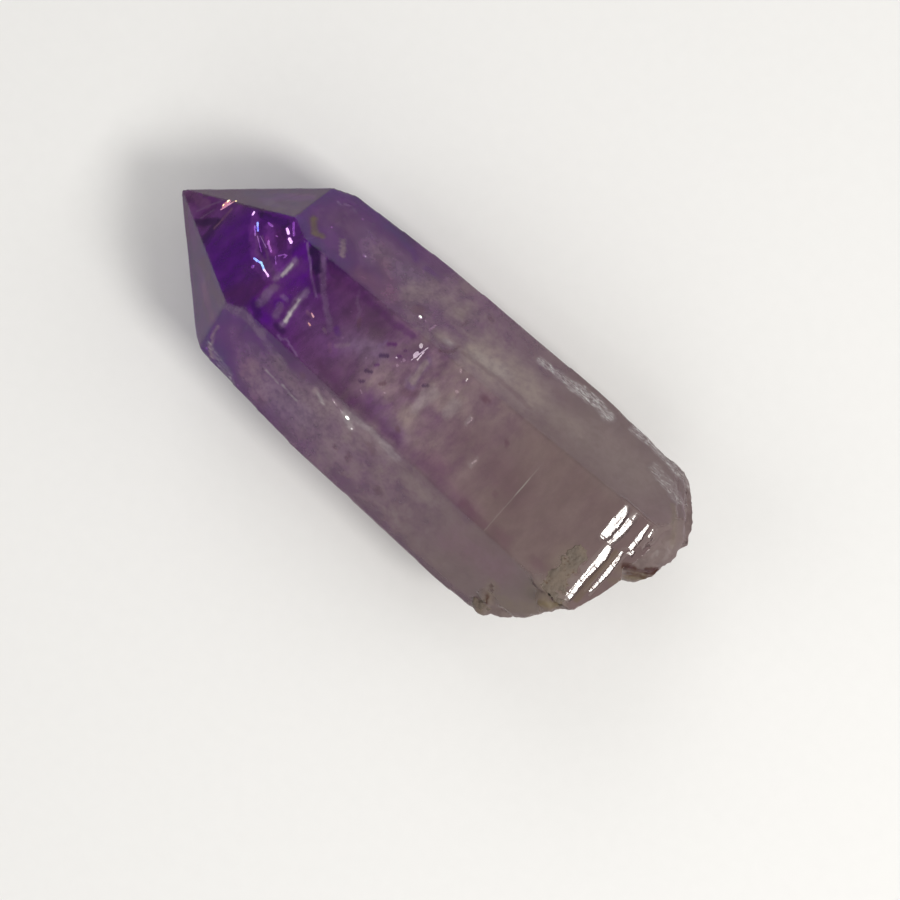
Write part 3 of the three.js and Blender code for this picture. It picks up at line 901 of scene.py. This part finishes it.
def store_paint(mesh, paint):
    """Keeps the brush strokes' colour and cover per vertex."""
    layer = mesh.attributes.new("paint", "FLOAT_COLOR", "POINT")
    layer.data.foreach_set("color", paint.ravel())


def past(bench, axis, start, end, *values):
    """Rises from 0 to 1, or between two values, along the crystal (mm from the tip)."""
    return bench.spread(axis["X"], AXIS_START.x + start * MM, AXIS_START.x + end * MM, *values)


def growth_colour(bench, here, axis, settings):
    """Violet at the tip, purple at the neck, mauve and smoky below, with uneven borders."""
    uneven = bench.times(bench.math("SUBTRACT", bench.noise(here, 120.0, 3.0), 0.5), 7 * MM)
    along = bench.math("ADD", axis["X"], uneven)
    share = bench.math("DIVIDE", bench.math("SUBTRACT", along, AXIS_START.x), 45 * MM)
    growth = bench.add("ShaderNodeValToRGB", {}, {"Fac": share})
    stops = growth.color_ramp.elements
    stops[0].color = settings.apex_colour
    stops[0].position = 0.03
    stops[1].color = settings.base_colour
    stops[1].position = 0.72
    for position, colour in ((0.14, settings.tip_colour), (0.32, settings.neck_colour),
                             (0.52, settings.middle_colour)):
        stops.new(position).color = colour
    return growth.outputs["Color"]


def clouded_colour(bench, colour, across, axis, settings):
    """Milky wisps and dusky patches in the crystal's middle."""
    clouded = bench.times(past(bench, axis, 15.5, 22), past(bench, axis, 34, 26, 0.22, 1.0))
    wisps = use_group(bench, "Drifting wisps", {
        "Vector": across, "Scale": 420.0, "From": 0.30, "To": 0.80}).outputs["Mask"]
    haze = bench.times(wisps, bench.times(clouded, 0.75))
    colour = bench.mix(haze, colour, list(settings.haze_colour))
    shade = bench.spread(bench.noise(across, 750.0, 4.0, 0.6), 0.42, 0.72)
    dimmed = bench.vector("MULTIPLY", colour, SHADE_TINT)
    return bench.mix(bench.times(shade, bench.times(clouded, 0.7)), colour, dimmed)


def painted_colour(bench, colour, across, paint):
    """The brush strokes, a little uneven, over the crystal's own colour."""
    uneven = bench.spread(bench.noise(across, 1400.0, 4.0, 0.6), 0.3, 0.62, 0.7, 1.0)
    bare = bench.math("SUBTRACT", 1.0, bench.times(paint["Alpha"], uneven))
    return bench.vector("MULTIPLY_ADD", colour, bare, bench.scaled(paint["Color"], uneven))


def mottled_colour(bench, colour, across, axis, steep):
    """Light and dark mottle, calmer on steep faces, which also get a painted shade that offsets the pale
    floor they mirror.
    """
    veins = bench.noise(across, 1400.0, 6.0, 0.62)
    clouds = bench.noise(across, 520.0, 4.0, 0.55)
    mottle = bench.math("ADD", bench.times(veins, 0.6), bench.times(clouds, 0.5))
    calm = bench.spread(steep, 0.0, 0.6, 1.0, 0.65)
    strength = bench.times(past(bench, axis, 19, 31, 0.26, 0.065), calm)
    change = bench.times(bench.spread(mottle, 0.36, 0.74, -1.0, 1.0), strength)
    mottled = bench.scaled(colour, bench.math("ADD", change, 1.0))
    # Painted shade: steep faces are darkened to offset the pale floor they mirror.
    steep_shaded = bench.vector("MULTIPLY_ADD", STEEP_PAINTED_SHADE, steep, mottled)
    return bench.vector("MAXIMUM", steep_shaded, DARKEST_QUARTZ)


def growth_line_highlight(bench, here, axis, steep):
    """Where the growth line crosses the top side: a fine pale line, its real step drawn as a painted
    highlight of the light it catches, brightest in its middle.
    """
    along = bench.math("ADD", bench.times(axis["Y"], 0.012), axis["X"])
    wobble = bench.times(bench.math("SUBTRACT", bench.noise(here, 900.0, 2.0), 0.5), 0.10 * MM)
    off_line = bench.math("SUBTRACT", bench.math("ADD", along, wobble), AXIS_START.x + GROWTH_LINE * MM)
    line = bench.spread(bench.math("ABSOLUTE", off_line), 0.075 * MM, 0.02 * MM)
    line = bench.times(line, bench.spread(axis["Y"], 2.6 * MM, 1.2 * MM))
    line = bench.times(line, bench.spread(steep, 0.2, 0.0))
    off_middle = bench.math("ABSOLUTE", bench.math("SUBTRACT", axis["Y"], 0.1 * MM))
    return bench.times(line, bench.spread(off_middle, 0.4 * MM, 1.1 * MM, 0.62, 0.18))


def crystal_material(settings):
    """Clear quartz: violet at the tip, smoky mauve below, milky, bruised and rusty in places."""
    material, bench, surface, output = new_material("Amethyst")
    here = bench.here()
    axis = bench.add("ShaderNodeSeparateXYZ", {}, {"Vector": here}).outputs
    across = bench.stretched(here, (0.85, 1.35, 1.35))
    paint = bench.add("ShaderNodeAttribute", {"attribute_name": "paint"}).outputs
    steep = bench.mask("steep")
    scuff = bench.mask("scuff")
    broken = bench.mask("broken")
    fresh = bench.mask("fresh")

    colour = growth_colour(bench, here, axis, settings)
    colour = clouded_colour(bench, colour, across, axis, settings)
    colour = painted_colour(bench, colour, across, paint)
    colour = mottled_colour(bench, colour, across, axis, steep)
    # The growth line's step is painted pale, a painted highlight of the light it catches.
    colour = bench.mix(growth_line_highlight(bench, here, axis, steep), colour, (0.50, 0.46, 0.42, 1.0))

    streaks = bench.noise(bench.stretched(here, (1.0, 0.3, 0.3)), 2200.0, 7.0, 0.75)
    scratched = bench.times(scuff, bench.spread(streaks, 0.38, 0.62, 0.1, 0.85))
    colour = bench.mix(scratched, colour, list(settings.scuff_colour))
    flakes = bench.noise(bench.stretched(here, (1.0, 0.5, 0.5)), 2300.0, 3.0, 0.6)
    flaked = bench.times(scuff, bench.spread(flakes, 0.56, 0.63))
    colour = bench.mix(flaked, colour, (0.95, 0.93, 0.93, 1.0))
    frost = bench.times(broken, bench.spread(paint["Alpha"], 0.5, 1.0, 0.3, 0.0))
    colour = bench.mix(frost, colour, (0.40, 0.33, 0.31, 1.0))

    rough = bench.spread(bench.noise(here, 420.0, 5.0, 0.6), 0.35, 0.7, 0.06, 0.2)
    rough = bench.math("ADD", rough, bench.times(broken, 0.32))
    rough = bench.math("ADD", rough, bench.times(scratched, 0.35))
    worn = bench.math("SUBTRACT", 1.0, fresh)
    rough = bench.times(rough, bench.math("ADD", bench.times(worn, 0.8), 0.2))

    ridges = bench.noise(bench.stretched(here, (0.25, 6.0, 6.0)), 900.0, 4.0, 0.6)
    pits = bench.noise(here, 2600.0, 2.0, 0.5)
    height = bench.math("ADD", bench.times(ridges, 0.5), bench.times(pits, 0.06))

    bench.feed(surface.inputs["Base Color"], colour)
    bench.feed(surface.inputs["Roughness"], rough)
    bench.feed(surface.inputs["Coat Weight"], fresh)
    bench.feed(surface.inputs["Normal"], bench.bump(0.10, bench.times(height, worn)))
    surface.inputs["IOR"].default_value = settings.refractive_index
    surface.inputs["Specular IOR Level"].default_value = settings.gloss
    surface.inputs["Transmission Weight"].default_value = settings.transmission
    surface.inputs["Coat Roughness"].default_value = 0.03
    surface.inputs["Coat IOR"].default_value = settings.refractive_index
    depth = bench.add("ShaderNodeVolumeAbsorption")
    depth.inputs["Color"].default_value = settings.absorption_colour
    depth.inputs["Density"].default_value = settings.absorption_density
    bench.tree.links.new(depth.outputs[0], output.inputs["Volume"])
    return material


class AMETHYST_OT_body(bpy.types.Operator):
    """Grow the crystal's fine surface over its solid"""

    bl_idname = "amethyst.body"
    bl_label = "Crystal body"

    def execute(self, context):
        settings = context.scene.amethyst_body
        bm, broken, fresh = crystal_surface(settings)
        flat, bend = seen_from_above([vert.co for vert in bm.verts])
        along = flat[:, 0]
        upward = numpy.array([vert.normal.z for vert in bm.verts])
        steep = ramp(upward, 0.68, 0.38) * (1.0 - 0.45 * ramp(along, 24.0, 40.0))
        scuff = numpy.zeros(len(flat))
        for width, strength, points in SCUFFS:
            scuff = numpy.maximum(scuff, strength * brush(flat + SCUFF_BEND * bend, width, points))
        scuff *= ramp(upward, -0.1, 0.2)
        facing = numpy.clip(upward / 0.25 + (along > STAINED_BREAK), 0.0, 1.0)
        tip_sides = 0.85 * ramp(upward, 0.47, 0.42) * facing * (along < TIP_SIDES_END)
        piece = finish_piece("crystal_body", bm, crystal_material(settings))
        store_masks(piece.data, {"broken": broken, "fresh": fresh, "scuff": scuff, "steep": steep})
        store_paint(piece.data, paint_strokes(flat, bend, facing, tip_sides))
        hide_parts(CRYSTAL_NODE)
        return {"FINISHED"}


# Inclusions

# Glints of healed fractures by the face they lie under: a group, half width, then points along and
# across (mm).
GLINTS = {
    under_tip_face: [
        ("pink", 0.11, [(5.82, 1.98), (5.77, 2.19)]), ("blue", 0.10, [(6.53, 1.79), (6.99, 1.36)]),
        ("lilac", 0.08, [(6.53, 1.47), (7.09, 0.95)]), ("lilac", 0.05, [(7.21, 1.05), (8.30, 0.37)]),
        ("lilac", 0.045, [(7.39, 1.19), (8.39, 0.83)]),
        ("lilac", 0.11, [(8.15, 1.32), (8.30, 1.15), (8.91, 0.84)]),
        ("lilac", 0.11, [(7.20, 2.28), (7.63, 2.28)]), ("pink", 0.14, [(8.60, 2.84), (8.96, 2.65)]),
        ("pink", 0.16, [(9.27, 2.41), (9.59, 2.29)]), ("lilac", 0.12, [(8.66, 3.48), (9.38, 2.79)]),
        ("blue", 0.10, [(8.22, -0.32), (8.53, -0.31), (8.88, -0.22), (9.38, -0.46)]),
        ("pink", 0.09, [(9.38, -0.46), (10.02, -0.62)]),
        ("lilac", 0.18, [(8.55, -0.82), (8.62, -0.85)]),
        ("lilac", 0.07, [(8.30, 1.93), (8.47, 1.97)]),
        ("lilac", 0.07, [(9.51, 0.96), (9.78, 1.30), (9.99, 1.39), (9.95, 1.11)]),
        ("lilac", 0.05, [(9.35, 0.82), (9.84, 0.37)]), ("coral", 0.22, [(3.58, 1.05), (3.68, 1.58)]),
        ("coral", 0.07, [(3.61, 0.72), (4.03, 1.94)]),
    ],
    under_top: [
        ("white", 0.17, [(21.42, 3.02), (21.51, 2.88)]),
        ("white", 0.20, [(21.63, 2.39), (21.61, 2.09)]),
        ("white", 0.05, [(21.93, 3.18), (21.62, 1.71)]),
        ("white", 0.06, [(21.93, 2.75), (21.94, 1.99)]),
        ("white", 0.09, [(20.70, 1.15), (20.75, 1.15)]),
        ("pale", 0.13, [(21.18, 1.42), (21.28, 1.32)]),
        ("pale", 0.12, [(21.11, 0.79), (21.16, 0.72)]),
        ("pale", 0.13, [(24.74, 3.55), (24.85, 3.42)]),
        ("white", 0.07, [(25.51, 3.40), (25.55, 3.20)]),
        ("pale", 0.15, [(25.50, 2.22), (25.60, 2.22)]),
        ("pale", 0.11, [(21.72, -1.31), (21.80, -1.31)]),
        ("pale", 0.10, [(27.59, 1.51), (27.70, 1.52)]),
        ("pale", 0.08, [(20.32, -2.30), (20.57, -2.40)]),
        ("pale", 0.09, [(27.64, 1.02), (27.69, 1.38)]),
        ("pale", 0.09, [(29.78, -0.93), (29.88, -0.55)]),
        ("coral", 0.07, [(14.05, -0.52), (14.35, -0.64)]),
        ("coral", 0.07, [(14.37, -1.20), (14.57, -1.26)]),
    ],
    under_back: [
        ("white", 0.18, [(19.89, 4.45), (20.00, 4.38)]),
        ("pale", 0.12, [(20.42, 4.49), (20.52, 4.43)]),
        ("pale", 0.12, [(21.16, 4.72), (21.10, 4.17)]),
        ("lilac", 0.14, [(13.86, 5.09), (13.95, 5.11)]),
        ("lilac", 0.10, [(10.64, 5.08), (10.72, 5.05)]),
        ("lilac", 0.09, [(11.61, 7.16), (11.68, 7.12)]),
        ("pale", 0.10, [(29.64, 4.57), (29.74, 4.48)]),
    ],
    under_front: [
        ("white", 0.21, [(20.83, -4.33), (20.96, -4.38)]),
        ("pale", 0.16, [(21.58, -4.74), (21.68, -4.70)]),
        ("pale", 0.11, [(12.09, -7.98), (12.16, -7.99)]),
        ("pale", 0.10, [(12.82, -8.05), (12.90, -8.06)]),
        ("pale", 0.09, [(16.36, -8.40), (16.44, -8.41)]),
        ("lilac", 0.10, [(9.35, -7.53), (9.40, -7.57)]),
        ("pale", 0.13, [(19.21, -4.06), (19.70, -4.20)]),
        ("pale", 0.10, [(20.15, -4.27), (20.39, -4.34)]),
    ],
}
# How far below its face a glint lies (mm).
GLINT_DEPTH = 0.22
# The glints' colours and the strength of their painted glow: emission that makes them shine through the
# coloured quartz above them.
GLINT_LOOKS = {
    "pink": ((0.50, 0.60, 0.45, 1.0), (0.60, 1.0, 0.50, 1.0), 8.0),
    "blue": ((0.14, 0.55, 0.60, 1.0), (0.25, 1.0, 0.60, 1.0), 7.0),
    "lilac": ((0.45, 0.35, 0.55, 1.0), (0.75, 0.80, 0.75, 1.0), 1.2),
    "coral": ((0.75, 0.55, 0.20, 1.0), (1.0, 1.0, 0.55, 1.0), 2.4),
    "pale": ((0.50, 0.44, 0.46, 1.0), (0.85, 0.82, 0.80, 1.0), 0.4),
    "white": ((0.70, 0.80, 0.70, 1.0), (0.85, 1.0, 0.84, 1.0), 2.2),
}
# Wavy healed cracks across the crystal: centre, half length and half height, turn about Z in degrees.
HEALED_CRACKS = [
    (place(21.8, 0.8, 4.6), 3.4, 2.6, 78),
    (place(23.4, -0.6, 3.2), 3.0, 2.8, 96),
    (place(26.2, 2.4, 3.8), 2.6, 2.2, 64),
    (place(17.6, 1.6, 2.4), 2.4, 2.6, 112),
    (place(33.4, -1.0, 3.6), 3.6, 3.4, 90),
    (place(11.6, -1.2, 4.6), 2.2, 2.0, 75),
]


def add_stroke(bm, points, radius):
    """A thin flattened thread through the points, thinner toward its ends."""
    last = len(points) - 1
    for index, point in enumerate(points):
        share = 0.65 if index in (0, last) else 1.0
        add_pebble(bm, point, radius * share, 2)
    for start, end in zip(points, points[1:]):
        run = end - start
        turn = run.to_track_quat("Z", "Y").to_matrix().to_4x4()
        bmesh.ops.create_cone(
            bm, cap_ends=True, segments=10, radius1=radius * 0.8 * MM, radius2=radius * 0.8 * MM,
            depth=run.length, matrix=Matrix.Translation((start + end) / 2) @ turn)


def add_pebble(bm, centre, radius, fineness, flat=1.0):
    """A small uneven ball."""
    shape = Matrix.Translation(centre) @ Matrix.Diagonal((1.0, 1.0, flat, 1.0))
    made = bmesh.ops.create_icosphere(bm, subdivisions=fineness, radius=radius * MM, matrix=shape)
    for vert in made["verts"]:
        out = vert.co - centre
        vert.co += out * 0.35 * noise.noise(vert.co / MM * 2.3 / max(radius, 0.1))


def stroke_piece(name, strokes, material, cell):
    """Joins strokes into one clean closed piece."""
    bm = bmesh.new()
    for points, radius in strokes:
        add_stroke(bm, points, radius)
    bm = remeshed(bm, name, "VOXEL", cell)
    for vert in bm.verts:
        vert.co += vert.normal * 0.03 * MM * noise.noise(vert.co / MM * 5.0)
    return finish_piece(name, bm, material)


def glint_material(name, dim, bright, strength):
    """A healed fracture whose crinkled flakes partly mirror the light and glow with emission, a painted
    glint.
    """
    material, bench, surface, _ = new_material(name)
    flakes = bench.noise(bench.here(), 3600.0, 3.0, 0.6)
    colour = bench.mix(bench.spread(flakes, 0.35, 0.62), dim, bright)
    bench.feed(surface.inputs["Base Color"], colour)
    bench.feed(surface.inputs["Roughness"], bench.spread(flakes, 0.3, 0.7, 0.15, 0.4))
    bench.feed(surface.inputs["Normal"], bench.bump(0.5, flakes))
    # Painted glint: the flakes glow with their own colour, though they are no lamp.
    bench.feed(surface.inputs["Emission Color"], colour)
    surface.inputs["Emission Strength"].default_value = strength
    surface.inputs["Metallic"].default_value = 0.4
    return material


def speck_material():
    """Dark mineral specks."""
    material, bench, surface, _ = new_material("Dark speck")
    tone = bench.noise(bench.here(), 900.0, 3.0)
    colour = bench.mix(tone, (0.03, 0.012, 0.05, 1.0), (0.10, 0.05, 0.09, 1.0))
    bench.feed(surface.inputs["Base Color"], colour)
    bench.feed(surface.inputs["Roughness"], bench.spread(tone, 0.3, 0.7, 0.4, 0.7))
    return material


def crack_material():
    """A healed crack: a thin sheet of tiny bubbles that lets most light through."""
    material, bench, surface, _ = new_material("Healed crack")
    here = bench.here()
    wisps = use_group(bench, "Drifting wisps", {
        "Vector": here, "Scale": 520.0, "From": 0.46, "To": 0.74}).outputs["Mask"]
    beads = bench.add("ShaderNodeTexVoronoi", {}, {"Vector": here, "Scale": 3800.0}).outputs["Distance"]
    beaded = bench.spread(beads, 0.5, 0.2)
    cover = bench.times(wisps, bench.math("ADD", bench.times(beaded, 0.5), 0.2))
    bench.feed(surface.inputs["Base Color"],
               bench.mix(wisps, (0.50, 0.38, 0.52, 1.0), (0.86, 0.82, 0.84, 1.0)))
    bench.feed(surface.inputs["Alpha"], cover)
    bench.feed(surface.inputs["Roughness"], bench.spread(wisps, 0.0, 1.0, 0.35, 0.6))
    return material


class AMETHYST_OT_fractures(bpy.types.Operator):
    """Lay the bright healed fractures, painted as glowing glints, and pale streaks inside the crystal"""

    bl_idname = "amethyst.fractures"
    bl_label = "Bright fractures"

    def execute(self, context):
        cell = context.scene.amethyst_inclusions.stroke_cell
        for group, (dim, bright, strength) in GLINT_LOOKS.items():
            strokes = [
                ([under(along, across, GLINT_DEPTH) for along, across in points], width)
                for under, rows in GLINTS.items() for name, width, points in rows if name == group]
            material = glint_material(group.capitalize() + " glint", dim, bright, strength)
            stroke_piece(group + "_glints", strokes, material, cell)
        return {"FINISHED"}


class AMETHYST_OT_cracks(bpy.types.Operator):
    """Hang wavy sheets of tiny bubbles across the crystal"""

    bl_idname = "amethyst.cracks"
    bl_label = "Healed cracks"

    def execute(self, context):
        bm = bmesh.new()
        for centre, half_length, half_height, turn in HEALED_CRACKS:
            upright = Matrix.Rotation(math.radians(90), 4, "X")
            stand = Matrix.Rotation(math.radians(turn), 4, "Z") @ upright
            size = Matrix.Diagonal((half_length * MM, half_height * MM, 1.0, 1.0))
            made = bmesh.ops.create_grid(
                bm, x_segments=36, y_segments=30, size=1.0,
                matrix=Matrix.Translation(centre) @ stand @ size)
            facing = stand @ Vector((0, 0, 1))
            for vert in made["verts"]:
                p = vert.co / MM
                vert.co += facing * MM * (0.5 * noise.noise(p * 0.4) + 0.12 * noise.noise(p * 1.7))
        bmesh.ops.solidify(bm, geom=bm.faces[:], thickness=0.02 * MM)
        finish_piece("healed_cracks", bm, crack_material())
        return {"FINISHED"}


class AMETHYST_OT_specks(bpy.types.Operator):
    """Scatter dark specks and bright bubbles, which glow faintly as painted highlights, inside the
    crystal
    """

    bl_idname = "amethyst.specks"
    bl_label = "Specks and bubbles"

    def execute(self, context):
        settings = context.scene.amethyst_inclusions
        chance = random.Random(settings.seed)
        dark = bmesh.new()
        bright = bmesh.new()
        for _ in range(settings.loose_specks):
            along = chance.triangular(11, 40, 21)
            side = chance.choice((under_top, under_back, under_front))
            middle = {under_top: 0.3, under_back: 6.2, under_front: -6.2}[side]
            spot = side(along, middle + chance.uniform(-1.9, 1.9), chance.uniform(0.12, 0.6))
            target = dark if chance.random() < 0.55 else bright
            add_pebble(target, spot, chance.uniform(0.03, 0.08), 1)
        finish_piece("dark_specks", dark, speck_material())
        # The bubbles' brightness is a faint painted glow (emission), standing in for the light they
        # catch.
        bubble = glint_material("Bubble", (0.62, 0.5, 0.62, 1.0), (0.9, 0.86, 0.9, 1.0), 0.3)
        finish_piece("bright_bubbles", bright, bubble)
        return {"FINISHED"}


# Crust of old bedding

# Lumps: along, across, up from the axis, radius along the face and thickness in mm.
CRUST_LUMPS = [
    (37.1, -7.75, 0.2, 0.95, 0.9), (36.9, -7.15, 1.6, 0.7, 0.6), (37.8, -7.4, 0.3, 0.6, 0.9),
]
# Fineness of the crust's net.
CRUST_CELL = 0.07 * MM
# Loose bits with fewer vertices than this are dropped.
CRUMB = 60
# The thin ragged sheet on the top side: brush width and points in mm, and how thick it grows.
CRUST_SHEET = [
    (1.6, [(39.8, -0.9), (39.9, -1.8), (39.95, -2.7), (40.2, -3.7)]),
    (1.7, [(39.6, -3.1), (40.3, -3.9)]),
]
CRUST_SHEET_MIDDLE = (40.1, -2.6)
CRUST_THICKNESS = 0.16
# It keeps to ground that faces up at least this much.
CRUST_FLAT = 0.6


def crust_material():
    """Grey-green grains with rust in their hollows."""
    material, bench, surface, _ = new_material("Matrix crust")
    here = bench.here()
    grain = use_group(bench, "Mineral grain", {"Vector": here, "Scale": 1500.0}).outputs["Height"]
    tone = bench.noise(here, 620.0, 4.0, 0.6)
    colour = bench.mix(bench.spread(tone, 0.35, 0.65), (0.108, 0.082, 0.064, 1.0),
                       (0.150, 0.114, 0.089, 1.0))
    colour = bench.mix(bench.spread(grain, 0.62, 0.40), colour, (0.085, 0.05, 0.03, 1.0))
    bench.feed(surface.inputs["Base Color"], colour)
    bench.feed(surface.inputs["Roughness"], bench.spread(tone, 0.3, 0.7, 0.55, 0.85))
    bench.feed(surface.inputs["Normal"], bench.bump(0.8, grain, 0.1 * MM))
    return material


def drop_crumbs(bm, least):
    """Deletes the loose parts of a mesh that have fewer vertices than this."""
    unseen = set(bm.verts)
    while unseen:
        rim = [unseen.pop()]
        part = list(rim)
        while rim:
            vert = rim.pop()
            joined = {edge.other_vert(vert) for edge in vert.link_edges} & unseen
            unseen -= joined
            part += joined
            rim += joined
        if len(part) < least:
            bmesh.ops.delete(bm, geom=part, context="VERTS")


def crust_sheet(crystal):
    """A thin ragged closed sheet of crust that hugs the crystal's top side."""
    sheet = bmesh.new()
    middle = Matrix.Translation(place(*CRUST_SHEET_MIDDLE, 0))
    bmesh.ops.create_grid(
        sheet, x_segments=70, y_segments=100, size=1.0,
        matrix=middle @ Matrix.Diagonal((1.9 * MM, 2.8 * MM, 1.0, 1.0)))
    tree = BVHTree.FromObject(crystal, bpy.context.evaluated_depsgraph_get())
    flat = numpy.array([
        ((v.co.x - AXIS_START.x) / MM, (v.co.y - AXIS_START.y) / MM) for v in sheet.verts])
    cover = numpy.zeros(len(flat))
    for width, points in CRUST_SHEET:
        cover = numpy.maximum(cover, brush(flat, width, points))
    thin = []
    for vert, over in zip(sheet.verts, cover):
        grain = noise.fractal(vert.co / MM * 1.7, 0.9, 2.1, 5)
        proud = CRUST_THICKNESS * (over - 0.62 + 0.42 * grain)
        above = Vector((vert.co.x, vert.co.y, 2 * CAD_HIGH.z))
        ground, facing, _, _ = tree.ray_cast(above, Vector((0, 0, -1)))
        if ground is None or facing.z < CRUST_FLAT or proud < -0.01:
            thin.append(vert)
            continue
        vert.co.z = min(ground.z + proud * MM, CAD_HIGH.z)
    while thin:
        bmesh.ops.delete(sheet, geom=thin, context="VERTS")
        thin = [v for v in sheet.verts if sum(e.is_boundary for e in v.link_edges) != 2 * v.is_boundary]
        thin += [v for v in sheet.verts if not v.link_faces and v not in thin]
    bmesh.ops.recalc_face_normals(sheet, faces=sheet.faces)
    bmesh.ops.solidify(sheet, geom=sheet.faces[:], thickness=0.1 * MM)
    return sheet


class AMETHYST_OT_crust(bpy.types.Operator):
    """Leave the crust of old bedding on the broken base"""

    bl_idname = "amethyst.crust"
    bl_label = "Matrix crust"

    def execute(self, context):
        chance = random.Random(context.scene.amethyst_inclusions.seed + 1)
        bm = bmesh.new()
        for along, across, up, radius, thickness in CRUST_LUMPS:
            add_pebble(bm, place(along, across, up), radius, 3, thickness / radius)
            for _ in range(6):
                turn = chance.uniform(0, 2 * math.pi)
                out = radius * chance.uniform(0.3, 0.8)
                spot = place(along + out * math.cos(turn), across + out * math.sin(turn),
                             up + chance.uniform(-0.3, 0.5) * thickness)
                add_pebble(bm, spot, chance.uniform(0.2, 0.4), 2)
        bm = remeshed(bm, "crust", "VOXEL", CRUST_CELL)
        for vert in bm.verts:
            p = vert.co / MM
            spot = vert.co + vert.normal * 0.07 * MM * noise.fractal(p * 3.2, 0.8, 2.0, 3)
            vert.co = [min(max(spot[i], CAD_LOW[i]), CAD_HIGH[i]) for i in range(3)]
        sheet = crust_sheet(bpy.data.objects["crystal_body"])
        thin = bpy.data.meshes.new("crust_sheet")
        sheet.to_mesh(thin)
        sheet.free()
        bm.from_mesh(thin)
        bpy.data.meshes.remove(thin)
        drop_crumbs(bm, CRUMB)
        finish_piece("matrix_crust", bm, crust_material())
        return {"FINISHED"}


# Stage

# The floor lies this far below the crystal and is this wide. The camera and the lights aim here.
FLOOR_GAP = 0.02 * MM
FLOOR_SIZE = 1.6
AIM = place(27.78, -1.23, 0)


def floor_material(settings):
    """Matt pale paper with a faint tooth."""
    material, bench, surface, _ = new_material("Pale floor")
    tooth = bench.noise(bench.here(), 900.0, 4.0)
    colour = bench.mix(tooth, list(settings.floor_colour), [0.97 * c for c in settings.floor_colour])
    bench.feed(surface.inputs["Base Color"], colour)
    surface.inputs["Roughness"].default_value = 0.9
    return material


def add_soft_light(name, towards, distance, size, power, colour):
    """A square soft light that looks at the crystal."""
    lamp = bpy.data.lights.new(name, "AREA")
    lamp.size = size
    lamp.energy = power
    lamp.color = colour
    holder = bpy.data.objects.new(name, lamp)
    direction = Vector(towards).normalized()
    holder.location = AIM + direction * distance
    holder.rotation_mode = "QUATERNION"
    holder.rotation_quaternion = direction.to_track_quat("Z", "Y")
    bpy.context.scene.collection.objects.link(holder)


def add_camera(settings):
    """Looks straight down the photograph's line of sight."""
    level = math.cos(settings.camera_height)
    back = Vector((level * math.cos(settings.camera_side), level * math.sin(settings.camera_side),
                   math.sin(settings.camera_height)))
    right = (-back).cross(Vector((-1, 0, 0))).normalized()
    up = right.cross(-back)
    turn = Matrix.Rotation(settings.camera_roll, 3, back)
    axes = Matrix((turn @ right, turn @ up, back)).transposed()
    lens = bpy.data.cameras.new("Camera")
    lens.lens = settings.lens
    lens.clip_start = 0.005
    lens.clip_end = 20.0
    camera = bpy.data.objects.new("Camera", lens)
    camera.matrix_world = Matrix.Translation(AIM + back * settings.camera_distance) @ axes.to_4x4()
    bpy.context.scene.collection.objects.link(camera)
    bpy.context.scene.camera = camera


class AMETHYST_OT_stage(bpy.types.Operator):
    """Set the pale floor, the soft light and the camera"""

    bl_idname = "amethyst.stage"
    bl_label = "Stage"

    def execute(self, context):
        settings = context.scene.amethyst_stage
        bm = bmesh.new()
        bmesh.ops.create_grid(bm, x_segments=1, y_segments=1, size=FLOOR_SIZE / 2,
                              matrix=Matrix.Translation((0, 0, -FLOOR_GAP)))
        mesh = bpy.data.meshes.new("floor")
        bm.to_mesh(mesh)
        bm.free()
        floor = link_mesh("floor", mesh)
        floor.data.materials.append(floor_material(settings))

        world = bpy.data.worlds.new("Room")
        world.use_nodes = True
        world.node_tree.nodes["Background"].inputs["Color"].default_value = (1.0, 0.985, 0.96, 1.0)
        world.node_tree.nodes["Background"].inputs["Strength"].default_value = settings.world_strength
        context.scene.world = world

        add_soft_light("window", (0.61, 0.06, 0.79), 0.38, 0.11, settings.window_power,
                       (1.0, 0.98, 0.93))
        for corner, (along, across) in enumerate(((1, 1), (1, -1), (-1, 1), (-1, -1))):
            add_soft_light(f"corner_{corner}", (along, across, 1.4), 0.55, 0.30, settings.corner_power,
                           (1.0, 0.985, 0.96))
        add_camera(settings)
        context.scene.view_settings.view_transform = "Standard"
        return {"FINISHED"}


class AMETHYST_PT_sidebar(bpy.types.Panel):
    """The crystal's pieces and their settings"""

    bl_idname = "AMETHYST_PT_sidebar"
    bl_label = "Amethyst Point"
    bl_space_type = "VIEW_3D"
    bl_region_type = "UI"
    bl_category = "Amethyst"

    def draw(self, context):
        for operator in PIECES:
            self.layout.operator(operator.bl_idname)
        for group in ("amethyst_body", "amethyst_inclusions", "amethyst_stage"):
            settings = getattr(context.scene, group)
            box = self.layout.box()
            for name in settings.__annotations__:
                box.prop(settings, name)


PIECES = (
    AMETHYST_OT_body,
    AMETHYST_OT_fractures,
    AMETHYST_OT_cracks,
    AMETHYST_OT_specks,
    AMETHYST_OT_crust,
    AMETHYST_OT_stage,
)
SETTINGS = {
    "amethyst_body": AmethystBodySettings,
    "amethyst_inclusions": AmethystInclusionSettings,
    "amethyst_stage": AmethystStageSettings,
}


def register():
    for name, settings in SETTINGS.items():
        bpy.utils.register_class(settings)
        setattr(bpy.types.Scene, name, bpy.props.PointerProperty(type=settings))
    for operator in PIECES:
        bpy.utils.register_class(operator)
    bpy.utils.register_class(AMETHYST_PT_sidebar)


def unregister():
    bpy.utils.unregister_class(AMETHYST_PT_sidebar)
    for operator in reversed(PIECES):
        bpy.utils.unregister_class(operator)
    for name, settings in SETTINGS.items():
        delattr(bpy.types.Scene, name)
        bpy.utils.unregister_class(settings)


def main():
    """Registers the add-on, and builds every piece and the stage."""
    register()
    build_cloud_group()
    build_grain_group()
    bpy.ops.amethyst.body()
    bpy.ops.amethyst.fractures()
    bpy.ops.amethyst.cracks()
    bpy.ops.amethyst.specks()
    bpy.ops.amethyst.crust()
    bpy.ops.amethyst.stage()


if __name__ == "__main__":
    main()
